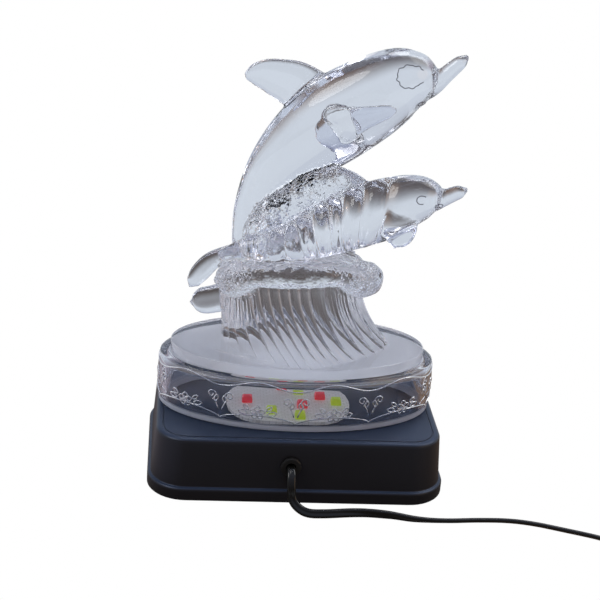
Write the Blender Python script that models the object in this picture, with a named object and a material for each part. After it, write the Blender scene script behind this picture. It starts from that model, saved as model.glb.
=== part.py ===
"""Lighted dolphin statue: two leaping dolphins on a wave, cast in one with an oval drum, on a lamp base.

The clear moulding is hollow only inside its drum, which stands over a small board of coloured LED chips.
Run with blender --background --python part.py. Lengths are metres, +Z is up and the front faces -Y. The
origin lies on the table, under the middle of the base.
"""

import math

import bmesh
import bpy
from mathutils import Matrix, Vector

MM = 0.001
GAP = 0.3 * MM  # left between two pieces that touch

# Clear moulding: the figure above the plate
FIGURE_HEIGHT = 145 * MM
FIGURE_UNITS = 147.0  # the figure's own height in the units of its drawing, which all its tables use
UNIT = FIGURE_HEIGHT / FIGURE_UNITS
FIGURE_LEAN = -3.0  # degrees, towards the tails
FIGURE_TURN = -4.7  # degrees about +Z, so that the heads come a little forward
FIGURE_PLACE = (-1.1 * MM, 0, -1.2 * MM)  # of the drawing's origin, from the middle of the plate's top

# Clear moulding: the oval drum, with the figure's plate raised on its shoulder
DRUM_X = -0.8 * MM
DRUM_LENGTH = 134 * MM
DRUM_DEPTH = 68 * MM
DRUM_HEIGHT = 32.2 * MM
DRUM_WALL = 4 * MM
DRUM_BULGE = 0.9 * MM
DRUM_FOOT_RADIUS = 1.2 * MM
CEILING_THICKNESS = 7.4 * MM  # from the drum's ceiling to the plate's top
PLATE_INSET_ENDS = 5 * MM  # how far the plate stands in from the drum at its ends
PLATE_INSET_FRONT = 1.6 * MM
PLATE_STEP = 4.9 * MM
PLATE_EDGE_RADIUS = 0.6 * MM
SHOULDER_HEIGHT = 1.6 * MM

# Black housing under the drum
BASE_SIDE_MARGIN = 1.6 * MM
BASE_FRONT_MARGIN = 9 * MM
BASE_HEIGHT = 31 * MM
BASE_CORNER_RADIUS = 15 * MM
BASE_EDGE_RADIUS = 2 * MM
BASE_DRAFT = 1.7 * MM  # how much wider the housing is at its flange than at its top
BASE_WALL = 2.5 * MM
FLANGE_REACH = 1.7 * MM
FLANGE_HEIGHT = 6.5 * MM
FLANGE_RADIUS = 1.5 * MM
COVER_THICKNESS = 2 * MM
COVER_CLEARANCE = 0.3 * MM

# Board of LED chips on top of the housing
BOARD_LENGTH = 60 * MM
BOARD_DEPTH = 40 * MM
BOARD_THICKNESS = 1.6 * MM
BOARD_CORNER_RADIUS = 18 * MM
BOARD_CENTRE = (-4 * MM, -4 * MM)
CHIP_SIZE = 5 * MM
CHIP_HEIGHT = 3 * MM
RED_CHIPS = [(-0.67, -0.05), (-0.07, 0.74), (0.22, -0.26), (0.53, 0.20)]  # shares of the board's half sizes
YELLOW_CHIPS = [(-0.29, -0.60), (0.16, -0.80), (0.78, -0.08), (0.19, 0.46)]

# Cord, its bushing in the front wall and its plug
CORD_DIAMETER = 4.3 * MM  # the width of the flat twin flex
CORD_X = -4.2 * MM
CORD_HEIGHT = 18.8 * MM
BUSHING_BORE_CLEARANCE = 0.35 * MM
BUSHING_WALL = 1.4 * MM
BUSHING_FLANGE = 1.1 * MM
BUSHING_FLANGE_THICKNESS = 1.4 * MM
CORD_DROP = [
    (-0.47, 0.0, 0.0),
    (0.47, 0.0, 0.0),
    (1.4, 0.1, 0.0),
    (2.1, 0.4, 0.02),
    (2.47, 0.7, 0.16),
    (2.98, 0.9, 0.8),
]  # from the wall: forward in cord diameters, the share of the fall, and to the right in cord diameters
CORD_ON_TABLE = [
    (4, -58.6),
    (12, -59),
    (28, -57.2),
    (42, -58.6),
    (55, -61.6),
    (70, -62),
    (85, -61),
    (99, -61),
    (111, -63.2),
    (125, -68.2),
    (140, -74.2),
    (150, -80.5),
]  # millimetres
COIL_CENTRE = (189 * MM, -68 * MM)
COIL_MEAN_RADIUS = 24 * MM
COIL_TURNS_WIDE = 4
COIL_LAYERS = 2
TIE_WIDTH = 4 * MM
TIE_THICKNESS = 0.7 * MM
PLUG_LENGTH = 30 * MM
PLUG_WIDTH = 25 * MM
PLUG_THICKNESS = 13 * MM
PLUG_CORNER_RADIUS = 6 * MM
PLUG_PLACE = (217 * MM, -18 * MM)
PIN_RADIUS = 2 * MM
PIN_LENGTH = 19 * MM
PIN_SPACING = 18.6 * MM

BASE_LENGTH = DRUM_LENGTH + 2 * BASE_SIDE_MARGIN
BASE_DEPTH = DRUM_DEPTH + 2 * BASE_FRONT_MARGIN
DRUM_FOOT_Z = BASE_HEIGHT + GAP
PLATE_Z = DRUM_FOOT_Z + DRUM_HEIGHT
COIL_FLOOR = TIE_THICKNESS + GAP
COIL_HALF_WIDTH = COIL_TURNS_WIDE * CORD_DIAMETER / 2 + CORD_DIAMETER / 2
COIL_HEIGHT = COIL_LAYERS * CORD_DIAMETER
FIGURE_FRAME = (
    Matrix.Translation(Vector(FIGURE_PLACE) + Vector((0, 0, PLATE_Z)))
    @ Matrix.Rotation(math.radians(FIGURE_TURN), 4, "Z")
    @ Matrix.Rotation(math.radians(FIGURE_LEAN), 4, "Y")
    @ Matrix.Scale(UNIT, 4)
)

# The dolphins' spines, from tail to head: x, y, z, half height and half depth of the body there
UPPER_BODY = [
    (-25.0, 8.0, 29.0, 4.6, 4.4),
    (-26.8, 9.0, 46.0, 5.9, 5.2),
    (-23.5, 9.5, 64.5, 9.0, 7.6),
    (-14.4, 10.0, 82.3, 13.7, 11.2),
    (-2.0, 10.0, 97.2, 18.0, 14.4),
    (13.9, 10.0, 111.0, 21.0, 16.4),
    (30.0, 9.5, 121.8, 20.2, 16.0),
    (44.5, 9.0, 130.6, 17.0, 13.6),
    (55.0, 9.0, 133.8, 12.4, 10.6),
    (61.0, 9.0, 134.8, 6.6, 6.0),
    (63.4, 9.0, 135.2, 1.6, 1.6),
]
UPPER_BEAK = [
    (54.0, 9.0, 126.5, 5.6, 5.6),
    (60.5, 9.0, 130.2, 5.2, 5.2),
    (66.5, 9.0, 135.1, 4.0, 4.2),
    (70.6, 9.0, 138.9, 3.6, 3.6),
    (73.6, 9.0, 141.5, 3.1, 3.0),
    (75.6, 9.0, 143.3, 1.5, 1.5),
]
LOWER_BODY = [
    (-34.0, -9.0, 51.0, 3.2, 3.4),
    (-24.0, -10.0, 53.9, 6.0, 5.2),
    (-13.5, -11.0, 55.2, 7.8, 7.0),
    (-2.0, -12.0, 58.6, 9.8, 8.8),
    (10.0, -12.0, 63.6, 12.4, 10.4),
    (23.0, -12.0, 69.4, 14.3, 11.6),
    (36.0, -12.0, 74.6, 14.9, 11.8),
    (48.0, -12.0, 79.4, 13.2, 10.6),
    (58.0, -12.0, 82.4, 10.2, 8.6),
    (64.2, -12.0, 83.6, 5.8, 5.2),
    (67.0, -12.0, 84.0, 1.6, 1.6),
]
LOWER_BEAK = [
    (56.0, -12.0, 78.4, 5.4, 5.4),
    (62.0, -12.0, 80.0, 4.8, 4.8),
    (68.0, -12.0, 82.4, 3.9, 4.0),
    (71.6, -12.0, 84.0, 3.5, 3.4),
    (74.6, -12.0, 85.2, 3.1, 3.0),
    (76.6, -12.0, 86.0, 1.5, 1.5),
]

# Fins and flukes, from root to tip, in the same way: half chord, then half thickness
UPPER_DORSAL = [
    (4.0, 10.0, 124.0, 12.5, 3.2),
    (-3.0, 10.0, 128.6, 11.6, 2.6),
    (-10.4, 10.0, 131.4, 10.0, 2.2),
    (-17.0, 10.0, 133.0, 8.0, 1.8),
    (-22.5, 10.0, 133.0, 5.6, 1.5),
    (-25.8, 10.0, 132.4, 2.6, 1.2),
]
LOWER_DORSAL = [
    (28.0, -11.0, 80.0, 9.0, 3.0),
    (24.0, -10.5, 86.0, 7.2, 2.4),
    (20.0, -10.0, 91.0, 4.6, 1.8),
    (17.4, -10.0, 94.4, 1.4, 0.9),
]
UPPER_FLIPPER = [
    (14.0, -2.5, 111.5, 8.4, 4.0),
    (20.0, -8.0, 115.5, 8.6, 3.4),
    (27.0, -11.0, 118.8, 6.2, 3.0),
    (34.0, -12.4, 121.2, 4.4, 2.6),
    (39.5, -12.6, 122.9, 3.3, 2.0),
    (42.2, -12.4, 123.4, 1.8, 1.2),
]
UPPER_FAR_FLIPPER = [
    (26.0, 20.0, 113.0, 5.5, 2.4),
    (22.0, 25.0, 110.0, 5.6, 2.2),
    (17.0, 29.0, 106.0, 4.6, 1.9),
    (12.0, 31.5, 102.0, 3.2, 1.5),
    (9.5, 32.5, 100.0, 1.4, 0.9),
]
LOWER_FLIPPER = [
    (49.5, -14.0, 78.0, 6.0, 3.0),
    (47.8, -19.0, 72.0, 7.6, 2.8),
    (46.0, -22.0, 67.0, 7.4, 2.5),
    (44.6, -23.6, 63.2, 4.8, 2.0),
    (44.0, -24.2, 61.6, 1.4, 0.9),
]
UPPER_FLUKE = [
    (-27.0, -9.0, 53.0, 3.8, 4.2),
    (-35.0, -6.5, 49.6, 3.8, 4.4),
    (-42.0, -4.0, 44.8, 4.6, 4.6),
    (-47.4, -2.5, 38.6, 4.8, 4.2),
    (-51.0, -2.0, 33.4, 3.6, 3.2),
    (-52.6, -2.0, 30.9, 1.2, 1.2),
]
LOWER_FLUKE = [
    (-33.0, -4.0, 27.0, 7.4, 5.0),
    (-41.0, -3.0, 24.6, 7.2, 4.2),
    (-47.0, -2.5, 23.2, 6.8, 3.4),
    (-50.6, -2.5, 22.6, 4.4, 2.4),
    (-51.8, -2.5, 22.4, 1.6, 1.2),
]

# Foam: rolls of lumps along a line, with the radius up and across
FRONT_CREST = [
    (-38.4, -9.6, 37.4, 2.4, 2.4),
    (-35.6, -11.0, 38.4, 6.8, 6.6),
    (-30.6, -13.4, 39.6, 9.0, 8.2),
    (-25.2, -16.4, 41.6, 7.6, 6.8),
    (-21.0, -18.6, 43.4, 5.8, 5.4),
    (-10.0, -21.0, 44.6, 6.0, 5.4),
    (3.0, -21.6, 45.2, 6.2, 5.6),
    (14.0, -19.2, 44.8, 5.8, 5.4),
    (20.6, -15.4, 42.6, 5.6, 5.4),
    (25.0, -11.4, 40.0, 7.4, 7.0),
    (30.4, -6.6, 38.0, 9.2, 8.4),
    (36.0, -2.2, 37.0, 7.4, 7.2),
    (39.4, 0.6, 36.4, 2.2, 2.2),
]
BACK_CREST = [
    (-34.0, 9.0, 38.0, 3.0, 3.0),
    (-27.0, 14.0, 41.0, 7.0, 6.4),
    (-10.0, 19.0, 45.0, 7.0, 6.4),
    (8.0, 18.5, 46.0, 7.0, 6.4),
    (20.0, 14.0, 41.0, 6.4, 6.4),
    (28.0, 6.0, 37.0, 6.0, 6.4),
    (31.0, 2.0, 36.0, 3.0, 3.0),
]
FOAM_BAND = [
    (-22.6, -2.0, 54.0, 4.6, 6.0),
    (-20.6, -3.0, 60.6, 6.4, 7.4),
    (-15.0, -3.4, 67.4, 7.8, 8.0),
    (-6.0, -3.2, 73.6, 8.6, 8.2),
    (3.0, -3.0, 79.2, 8.8, 8.0),
    (12.0, -3.0, 83.6, 8.6, 7.4),
    (20.0, -3.4, 86.4, 6.8, 6.2),
    (24.6, -3.8, 87.2, 2.4, 2.6),
]
LUMP_DEPTH = 0.16  # share of the roll's radius
LUMPS_ROUND = 4
LUMP_PITCH = 9.6

# The wave: x and y at the crest, x and y at the foot, and the ribs from there to the next line
WAVE = [
    (-38.0, 3.0, -37.5, 0.0, 3),
    (-32.0, -12.0, -27.0, -18.0, 2),
    (-23.0, -19.0, -8.0, -28.5, 3),
    (-9.0, -22.5, 8.0, -32.0, 3),
    (5.0, -23.0, 22.0, -24.0, 2),
    (18.0, -19.0, 34.0, -14.0, 3),
    (29.0, -4.0, 45.0, 3.0, 3),
    (24.0, 12.0, 36.0, 20.0, 3),
    (3.0, 19.0, 6.0, 27.0, 3),
    (-22.0, 16.0, -26.0, 21.0, 3),
]
WAVE_HEIGHT = 47.0
WAVE_ROWS = [-0.07, 0.03, 0.12, 0.24, 0.4, 0.6, 0.8, 1.0]  # shares of its height
WAVE_SWEEP = 2.4  # power by which the ribs run out to the foot
FLUTE_DEPTH = 2.0
WAVE_DOME = 3.0
WAVE_DOME_SHARE = 0.55


def material(name, colour, roughness, transmission=0.0):
    made = bpy.data.materials.new(name)
    made.use_nodes = True
    shader = made.node_tree.nodes["Principled BSDF"]
    shader.inputs["Base Color"].default_value = (*colour, 1)
    shader.inputs["Roughness"].default_value = roughness
    shader.inputs["Metallic"].default_value = 0
    shader.inputs["Transmission Weight"].default_value = transmission
    return made


def between(before, start, end, after, share):
    """A point of the smooth curve that runs from start to end, each point a tuple of numbers."""
    t = share
    weights = (
        (-t + 2 * t**2 - t**3) / 2,
        (2 - 5 * t**2 + 3 * t**3) / 2,
        (t + 4 * t**2 - 3 * t**3) / 2,
        (-(t**2) + t**3) / 2,
    )
    return tuple(sum(w * p for w, p in zip(weights, group)) for group in zip(before, start, end, after))


def smooth_line(points, steps):
    """An open smooth curve through the points, with this many steps from each one to the next."""
    last = len(points) - 1
    line = []
    for i in range(last):
        before = points[max(i - 1, 0)]
        after = points[min(i + 2, last)]
        line += [between(before, points[i], points[i + 1], after, k / steps) for k in range(steps)]
    return line + [tuple(points[-1])]


def skin(name, rings, finish, hidden=False, joined=False):
    """One closed object from a row of rings: quads between them, and the two ends closed or joined."""
    bm = bmesh.new()
    rows = [[bm.verts.new(point) for point in ring] for ring in rings]
    count = len(rows[0])
    following = rows[1:] + rows[:1] if joined else rows[1:]
    for low, high in zip(rows, following):
        for i in range(count):
            j = (i + 1) % count
            bm.faces.new((low[i], low[j], high[j], high[i]))
    if not joined:
        bm.faces.new(rows[0][::-1])
        bm.faces.new(rows[-1])
    bmesh.ops.recalc_face_normals(bm, faces=bm.faces)
    mesh = bpy.data.meshes.new(name)
    bm.to_mesh(mesh)
    bm.free()
    mesh.shade_smooth()
    mesh.set_sharp_from_angle(angle=math.radians(35))
    mesh.materials.append(finish)
    made = bpy.data.objects.new(name, mesh)
    bpy.context.scene.collection.objects.link(made)
    if hidden:
        made.hide_render = True
        made.display_type = "WIRE"
    return made


def figure_point(x, y, z):
    """A point of the figure's drawing, where it stands on the plate."""
    return FIGURE_FRAME @ Vector((x, y, z))


def limb(name, stations, sides, steps, finish, lump_depth=0.0):
    """A tapering body along a line of stations, each one x, y, z, half height and half depth."""
    line = smooth_line(stations, steps)
    rings = []
    for i, (x, y, z, half_height, half_depth) in enumerate(line):
        here = Vector((x, y, z))
        ahead = Vector(line[min(i + 1, len(line) - 1)][:3]) - Vector(line[max(i - 1, 0)][:3])
        ahead.normalize()
        up = Vector((-ahead.z, 0, ahead.x)).normalized()
        across = ahead.cross(up)
        run = sum((Vector(a[:3]) - Vector(b[:3])).length for a, b in zip(line[1 : i + 1], line[:i]))
        ring = []
        for k in range(sides):
            angle = math.tau * k / sides
            phase = math.tau * run / LUMP_PITCH
            swell = 1 + lump_depth * math.cos(LUMPS_ROUND * angle + phase / 2) * math.cos(phase)
            reach = up * half_height * math.cos(angle) + across * half_depth * math.sin(angle)
            ring.append(figure_point(*(here + reach * swell)))
        rings.append(ring)
    return skin(name, rings, finish, hidden=True)


def wave_line(row):
    """The wave's outline at a share of its height: points at each rib's ridge and in the flute beside it."""
    sweep = (1 - max(row, 0)) ** WAVE_SWEEP
    handles = [
        (crest_x + (foot_x - crest_x) * sweep, crest_y + (foot_y - crest_y) * sweep)
        for crest_x, crest_y, foot_x, foot_y, _ in WAVE
    ]
    count = len(handles)
    line = []
    for i, (_, _, _, _, ribs) in enumerate(WAVE):
        corners = [handles[(i + k) % count] for k in (-1, 0, 1, 2)]
        for k in range(3 * ribs):
            line.append((Vector(between(*corners, k / (3 * ribs))), k % 3 != 0))
    return line


def wave(finish):
    rings = []
    for row in WAVE_ROWS:
        line = wave_line(row)
        ring = []
        for i, (point, in_flute) in enumerate(line):
            along = line[(i + 1) % len(line)][0] - line[i - 1][0]
            inward = Vector((-along.y, along.x)).normalized()
            place = point + inward * (FLUTE_DEPTH if in_flute else 0)
            ring.append(figure_point(place.x, place.y, row * WAVE_HEIGHT))
        rings.append(ring)
    middle = sum(rings[-1], Vector()) / len(rings[-1])
    rise = Vector((0, 0, WAVE_DOME * UNIT))
    dome = [middle.lerp(point, WAVE_DOME_SHARE) + rise for point in rings[-1]]
    return skin("wave", [*rings, dome], finish, hidden=True)


def oval(z, inset=0.0, step_in=0.0, sides=44):
    """The drum's outline, moved in by an inset, and by this share of the plate's own insets."""
    half_length = DRUM_LENGTH / 2 - inset - PLATE_INSET_ENDS * step_in
    half_depth = DRUM_DEPTH / 2 - inset - PLATE_INSET_FRONT * step_in
    angles = [math.tau * k / sides for k in range(sides)]
    return [(DRUM_X + half_length * math.cos(a), half_depth * math.sin(a), z) for a in angles]


def drum(name, finish):
    """The hollow oval drum and its plate: from the ceiling down, round the foot and up outside."""
    foot, top = DRUM_FOOT_Z, PLATE_Z
    ceiling = top - CEILING_THICKNESS
    ledge = top - PLATE_STEP
    side_top = ledge - SHOULDER_HEIGHT
    rings = [
        oval(ceiling, DRUM_WALL),
        oval(foot, DRUM_WALL),
        oval(foot, DRUM_FOOT_RADIUS),
        oval(foot + DRUM_FOOT_RADIUS),
        oval((foot + side_top) / 2, -DRUM_BULGE),
    ]
    for angle in map(math.radians, (0, 30, 60, 90)):
        rings.append(oval(side_top + SHOULDER_HEIGHT * math.sin(angle), step_in=1 - math.cos(angle)))
    rings.append(oval(top - PLATE_EDGE_RADIUS, step_in=1))
    rings.append(oval(top, PLATE_EDGE_RADIUS, 1))
    return skin(name, rings, finish)


def rounded_rectangle(half_x, half_y, radius, z, centre=(0, 0), corner_steps=5):
    points = []
    for corner, (sx, sy) in enumerate(((1, 1), (-1, 1), (-1, -1), (1, -1))):
        for k in range(corner_steps + 1):
            angle = math.radians(90 * (corner + k / corner_steps))
            x = centre[0] + sx * (half_x - radius) + radius * math.cos(angle)
            y = centre[1] + sy * (half_y - radius) + radius * math.sin(angle)
            points.append((x, y, z))
    return points


def housing_line(grow, z):
    return rounded_rectangle(BASE_LENGTH / 2 + grow, BASE_DEPTH / 2 + grow, BASE_CORNER_RADIUS + grow, z)


def housing(name, finish):
    """The housing, open underneath: from its ceiling down, round the flange and up outside."""
    reach = BASE_DRAFT + FLANGE_REACH
    edge = BASE_HEIGHT - BASE_EDGE_RADIUS
    rings = [
        housing_line(-BASE_WALL, BASE_HEIGHT - BASE_WALL),
        housing_line(-BASE_WALL, 0),
        housing_line(reach, 0),
        housing_line(reach, FLANGE_HEIGHT - FLANGE_RADIUS),
        housing_line(reach - FLANGE_RADIUS, FLANGE_HEIGHT),
        housing_line(BASE_DRAFT, FLANGE_HEIGHT),
    ]
    for angle in map(math.radians, (0, 30, 60, 90)):
        inset = BASE_EDGE_RADIUS * (1 - math.cos(angle))
        rings.append(housing_line(-inset, edge + BASE_EDGE_RADIUS * math.sin(angle)))
    return skin(name, rings, finish)


def slab(name, rings_at, low, high, finish):
    """A flat piece between two heights, whose outline rings_at gives at each."""
    return skin(name, [rings_at(low), rings_at(high)], finish)


def turned(name, profile, sides, finish):
    """A ring turned about its own +Z from a closed profile of radius and height."""
    angles = [math.tau * k / sides for k in range(sides)]
    rings = [[(r * math.cos(a), r * math.sin(a), h) for r, h in profile] for a in angles]
    return skin(name, rings, finish, joined=True)


def rod(name, radius, length, sides, finish, hidden=False):
    """A round bar that starts at its own origin and runs along its +Z."""
    angles = [math.tau * k / sides for k in range(sides)]
    rings = [[(radius * math.cos(a), radius * math.sin(a), z) for a in angles] for z in (0, length)]
    return skin(name, rings, finish, hidden)


def cast_together(target, pieces):
    """Unites the pieces with the target in one step, so that a piece may cross several others."""
    group = bpy.data.collections.new("cast together")
    for piece in pieces:
        group.objects.link(piece)
    union = target.modifiers.new("cast together", "BOOLEAN")
    union.operation = "UNION"
    union.solver = "EXACT"
    union.operand_type = "COLLECTION"
    union.collection = group


def dolphin_statue(clear):
    statue = drum("dolphin_statue", clear)
    pieces = [
        wave(clear),
        limb("front_crest", FRONT_CREST, 11, 2, clear, LUMP_DEPTH),
        limb("back_crest", BACK_CREST, 9, 2, clear),
        limb("foam_band", FOAM_BAND, 11, 3, clear, LUMP_DEPTH),
        limb("lower_body", LOWER_BODY, 15, 2, clear),
        limb("lower_beak", LOWER_BEAK, 9, 2, clear),
        limb("lower_dorsal", LOWER_DORSAL, 8, 2, clear),
        limb("lower_flipper", LOWER_FLIPPER, 8, 2, clear),
        limb("lower_far_flipper", far_side(LOWER_FLIPPER, LOWER_BODY[5][1]), 7, 2, clear),
        limb("upper_fluke", UPPER_FLUKE, 8, 2, clear),
        limb("lower_fluke", LOWER_FLUKE, 8, 2, clear),
        limb("upper_body", UPPER_BODY, 16, 2, clear),
        limb("upper_beak", UPPER_BEAK, 9, 2, clear),
        limb("upper_dorsal", UPPER_DORSAL, 8, 2, clear),
        limb("upper_flipper", UPPER_FLIPPER, 8, 2, clear),
        limb("upper_far_flipper", UPPER_FAR_FLIPPER, 7, 2, clear),
    ]
    cast_together(statue, pieces)
    return statue


def far_side(stations, middle):
    """The same fin on the body's other side, mirrored in the plane y = middle."""
    return [(x, 2 * middle - y, z, chord, thickness) for x, y, z, chord, thickness in stations]


def light_base(black):
    base = housing("light_base", black)
    bore = rod("cord_hole", bushing_radius() + GAP, 3 * (BASE_WALL + BASE_DRAFT), 24, black, hidden=True)
    bore.location = (CORD_X, -BASE_DEPTH / 2 + BASE_WALL + BASE_DRAFT, CORD_HEIGHT)
    bore.rotation_euler = (math.pi / 2, 0, 0)
    cut = base.modifiers.new("cord hole", "BOOLEAN")
    cut.operation = "DIFFERENCE"
    cut.solver = "EXACT"
    cut.object = bore
    return base


def base_cover(black):
    inset = BASE_WALL + COVER_CLEARANCE

    def outline(z):
        return housing_line(-inset, z)

    return slab("base_cover", outline, 0, COVER_THICKNESS, black)


def led_board(white):
    half_length, half_depth = BOARD_LENGTH / 2, BOARD_DEPTH / 2

    def outline(z):
        return rounded_rectangle(half_length, half_depth, BOARD_CORNER_RADIUS, z, BOARD_CENTRE)

    low = BASE_HEIGHT + GAP
    return slab("led_board", outline, low, low + BOARD_THICKNESS, white)


def led_chips(colour_name, places, finish):
    low = BASE_HEIGHT + GAP + BOARD_THICKNESS + GAP
    half = CHIP_SIZE / 2
    for number, (share_x, share_y) in enumerate(places, 1):
        x = BOARD_CENTRE[0] + share_x * BOARD_LENGTH / 2
        y = BOARD_CENTRE[1] + share_y * BOARD_DEPTH / 2

        def outline(z):
            return [(x + sx * half, y + sy * half, z) for sx, sy in ((1, 1), (-1, 1), (-1, -1), (1, -1))]

        slab(f"led_{colour_name}_{number}", outline, low, low + CHIP_HEIGHT, finish)


def bushing_radius():
    """Radius of the bushing's neck, where it passes through the housing's wall."""
    return CORD_DIAMETER / 2 + BUSHING_BORE_CLEARANCE + BUSHING_WALL


def wall_front():
    """The y of the housing's front face at the height of the cord, which the draft slopes."""
    share = (BASE_HEIGHT - BASE_EDGE_RADIUS - CORD_HEIGHT) / (BASE_HEIGHT - BASE_EDGE_RADIUS - FLANGE_HEIGHT)
    return -BASE_DEPTH / 2 - BASE_DRAFT * share


def cord_bushing(rubber):
    bore = CORD_DIAMETER / 2 + BUSHING_BORE_CLEARANCE
    neck = bushing_radius()
    flange = neck + BUSHING_FLANGE
    back = BASE_WALL + BASE_DRAFT
    front = BUSHING_FLANGE_THICKNESS + GAP
    slope = BASE_DRAFT * flange / (BASE_HEIGHT - BASE_EDGE_RADIUS - FLANGE_HEIGHT) + GAP
    profile = [(bore, -back), (neck, -back), (neck, slope), (flange, slope)]
    profile += [(flange, front), (flange - BUSHING_FLANGE / 2, front + GAP), (bore, front + GAP)]
    made = turned("cord_grommet", profile, 12, rubber)
    made.location = (CORD_X, wall_front(), CORD_HEIGHT)
    made.rotation_euler = (math.pi / 2, 0, 0)
    return made


def tube(name, points, finish):
    """A plain tube of the cord's diameter along the points."""
    curve = bpy.data.curves.new(name, "CURVE")
    curve.dimensions = "3D"
    curve.bevel_depth = CORD_DIAMETER / 2
    curve.bevel_resolution = 2
    curve.use_fill_caps = True
    spline = curve.splines.new("POLY")
    spline.points.add(len(points) - 1)
    for point, place in zip(spline.points, points):
        point.co = (*place, 1)
    curve.materials.append(finish)
    made = bpy.data.objects.new(name, curve)
    bpy.context.scene.collection.objects.link(made)
    return made


def cord_route():
    """From inside the bushing, down the housing's front and along the table to the coil."""
    start = wall_front()
    floor = CORD_DIAMETER / 2 + 0.1 * MM
    coil_x, coil_y = COIL_CENTRE
    beside = COIL_MEAN_RADIUS + COIL_HALF_WIDTH + CORD_DIAMETER / 2 + 2 * GAP
    chosen = [
        (
            CORD_X + right * CORD_DIAMETER,
            start - forward * CORD_DIAMETER,
            CORD_HEIGHT - fall * (CORD_HEIGHT - floor),
        )
        for forward, fall, right in CORD_DROP
    ]
    chosen += [(x * MM, y * MM, floor) for x, y in CORD_ON_TABLE]
    on_coil_floor = COIL_FLOOR + CORD_DIAMETER / 2
    chosen += [
        (coil_x + beside * math.cos(angle), coil_y + beside * math.sin(angle), on_coil_floor)
        for angle in map(math.radians, (218, 240, 262))
    ]
    return smooth_line(chosen, 2)


def cord_coil(black):
    inner, outer = COIL_MEAN_RADIUS - COIL_HALF_WIDTH, COIL_MEAN_RADIUS + COIL_HALF_WIDTH
    chamfer = CORD_DIAMETER / 3
    low, high = 0, COIL_HEIGHT
    profile = [
        (inner + chamfer, low),
        (outer - chamfer, low),
        (outer, low + chamfer),
        (outer, high - chamfer),
        (outer - chamfer, high),
        (inner + chamfer, high),
        (inner, high - chamfer),
        (inner, low + chamfer),
    ]
    made = turned("cord_coil", profile, 22, black)
    made.location = (*COIL_CENTRE, COIL_FLOOR)
    return made


def cord_tie(black):
    """A flat band closed round the coil's turns on its right."""
    half_width = COIL_HALF_WIDTH + GAP
    low, high = COIL_FLOOR - GAP, COIL_FLOOR + COIL_HEIGHT + GAP
    middle = COIL_CENTRE[0] + COIL_MEAN_RADIUS
    grow = TIE_THICKNESS

    def frame(y, margin):
        left, right = middle - half_width - margin, middle + half_width + margin
        bottom, top = low - margin, high + margin
        return [(left, y, bottom), (right, y, bottom), (right, y, top), (left, y, top)]

    front, back = COIL_CENTRE[1] - TIE_WIDTH / 2, COIL_CENTRE[1] + TIE_WIDTH / 2
    rings = [frame(front, 0), frame(front, grow), frame(back, grow), frame(back, 0)]
    return skin("cord_tie", rings, black, joined=True)


def plug(black, metal):
    """A flat two-pin plug that lies on its broad side behind the coil, its pins to the left."""
    x, y = PLUG_PLACE
    rings = []
    for share, narrow in ((0.0, 0.42), (0.25, 0.62), (0.55, 1.0), (1.0, 1.0)):
        half_width = PLUG_WIDTH / 2 * narrow
        half_thickness = PLUG_THICKNESS / 2 * (0.55 + 0.45 * narrow)
        radius = min(PLUG_CORNER_RADIUS, 0.95 * half_thickness)
        line = rounded_rectangle(half_width, half_thickness, radius, 0, corner_steps=3)
        here = x - share * PLUG_LENGTH
        rings.append([(here, y + across, PLUG_THICKNESS / 2 + up) for across, up, _ in line])
    skin("plug_body", rings, black)
    for side, name in ((1, "plug_pin_left"), (-1, "plug_pin_right")):
        pin = rod(name, PIN_RADIUS, PIN_LENGTH, 12, metal)
        pin.location = (x - PLUG_LENGTH - GAP, y - side * PIN_SPACING / 2, PLUG_THICKNESS / 2)
        pin.rotation_euler = (0, -math.pi / 2, 0)


def tail_route():
    """From the coil's outer turn, clear of the tie, round to the plug's narrow end."""
    coil_x, coil_y = COIL_CENTRE
    beside = COIL_MEAN_RADIUS + COIL_HALF_WIDTH + CORD_DIAMETER / 2 + GAP
    plug_x, plug_y = PLUG_PLACE
    low, high = CORD_DIAMETER / 2 + 0.1 * MM, PLUG_THICKNESS / 2
    start, after = math.radians(320), math.radians(338)
    chosen = [
        (coil_x + beside * math.cos(start), coil_y + beside * math.sin(start), high),
        (coil_x + 1.04 * beside * math.cos(after), coil_y + 1.04 * beside * math.sin(after), 0.75 * high),
        (coil_x + 1.09 * beside, coil_y, low),
        (plug_x + 3.1 * CORD_DIAMETER, (coil_y + plug_y) / 2, low),
        (plug_x + 2.5 * CORD_DIAMETER, plug_y - 3.5 * CORD_DIAMETER, 0.55 * high),
        (plug_x + 1.9 * CORD_DIAMETER, plug_y - 1.3 * CORD_DIAMETER, 0.85 * high),
        (plug_x + 0.9 * CORD_DIAMETER, plug_y - 0.2 * CORD_DIAMETER, high),
        (plug_x + 2 * GAP, plug_y, high),
    ]
    return smooth_line(chosen, 2)


def main():
    for old in list(bpy.data.objects):
        bpy.data.objects.remove(old)
    clear = material("Clear acrylic", (0.80, 0.82, 0.88), 0.03, transmission=1.0)
    black = material("Black ABS", (0.012, 0.012, 0.016), 0.32)
    white = material("White circuit board", (0.78, 0.79, 0.78), 0.4)
    red = material("Red LED lens", (0.85, 0.06, 0.07), 0.35)
    yellow = material("Yellow-green LED lens", (0.62, 0.80, 0.04), 0.35)
    rubber = material("Black rubber", (0.015, 0.015, 0.015), 0.6)
    flex = material("Black PVC flex", (0.012, 0.012, 0.014), 0.3)
    metal = material("Nickel-plated brass", (0.70, 0.69, 0.66), 0.25)
    dolphin_statue(clear)
    light_base(black)
    base_cover(black)
    led_board(white)
    led_chips("red", RED_CHIPS, red)
    led_chips("yellow", YELLOW_CHIPS, yellow)
    cord_bushing(rubber)
    tube("power_cord", cord_route(), flex)
    cord_coil(flex)
    cord_tie(rubber)
    tube("cord_tail", tail_route(), flex)
    plug(black, metal)


main()
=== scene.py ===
"""Looks of the lighted dolphin statue: its clear casting, lamp base, board of LED chips and cord."""

import math

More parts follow.
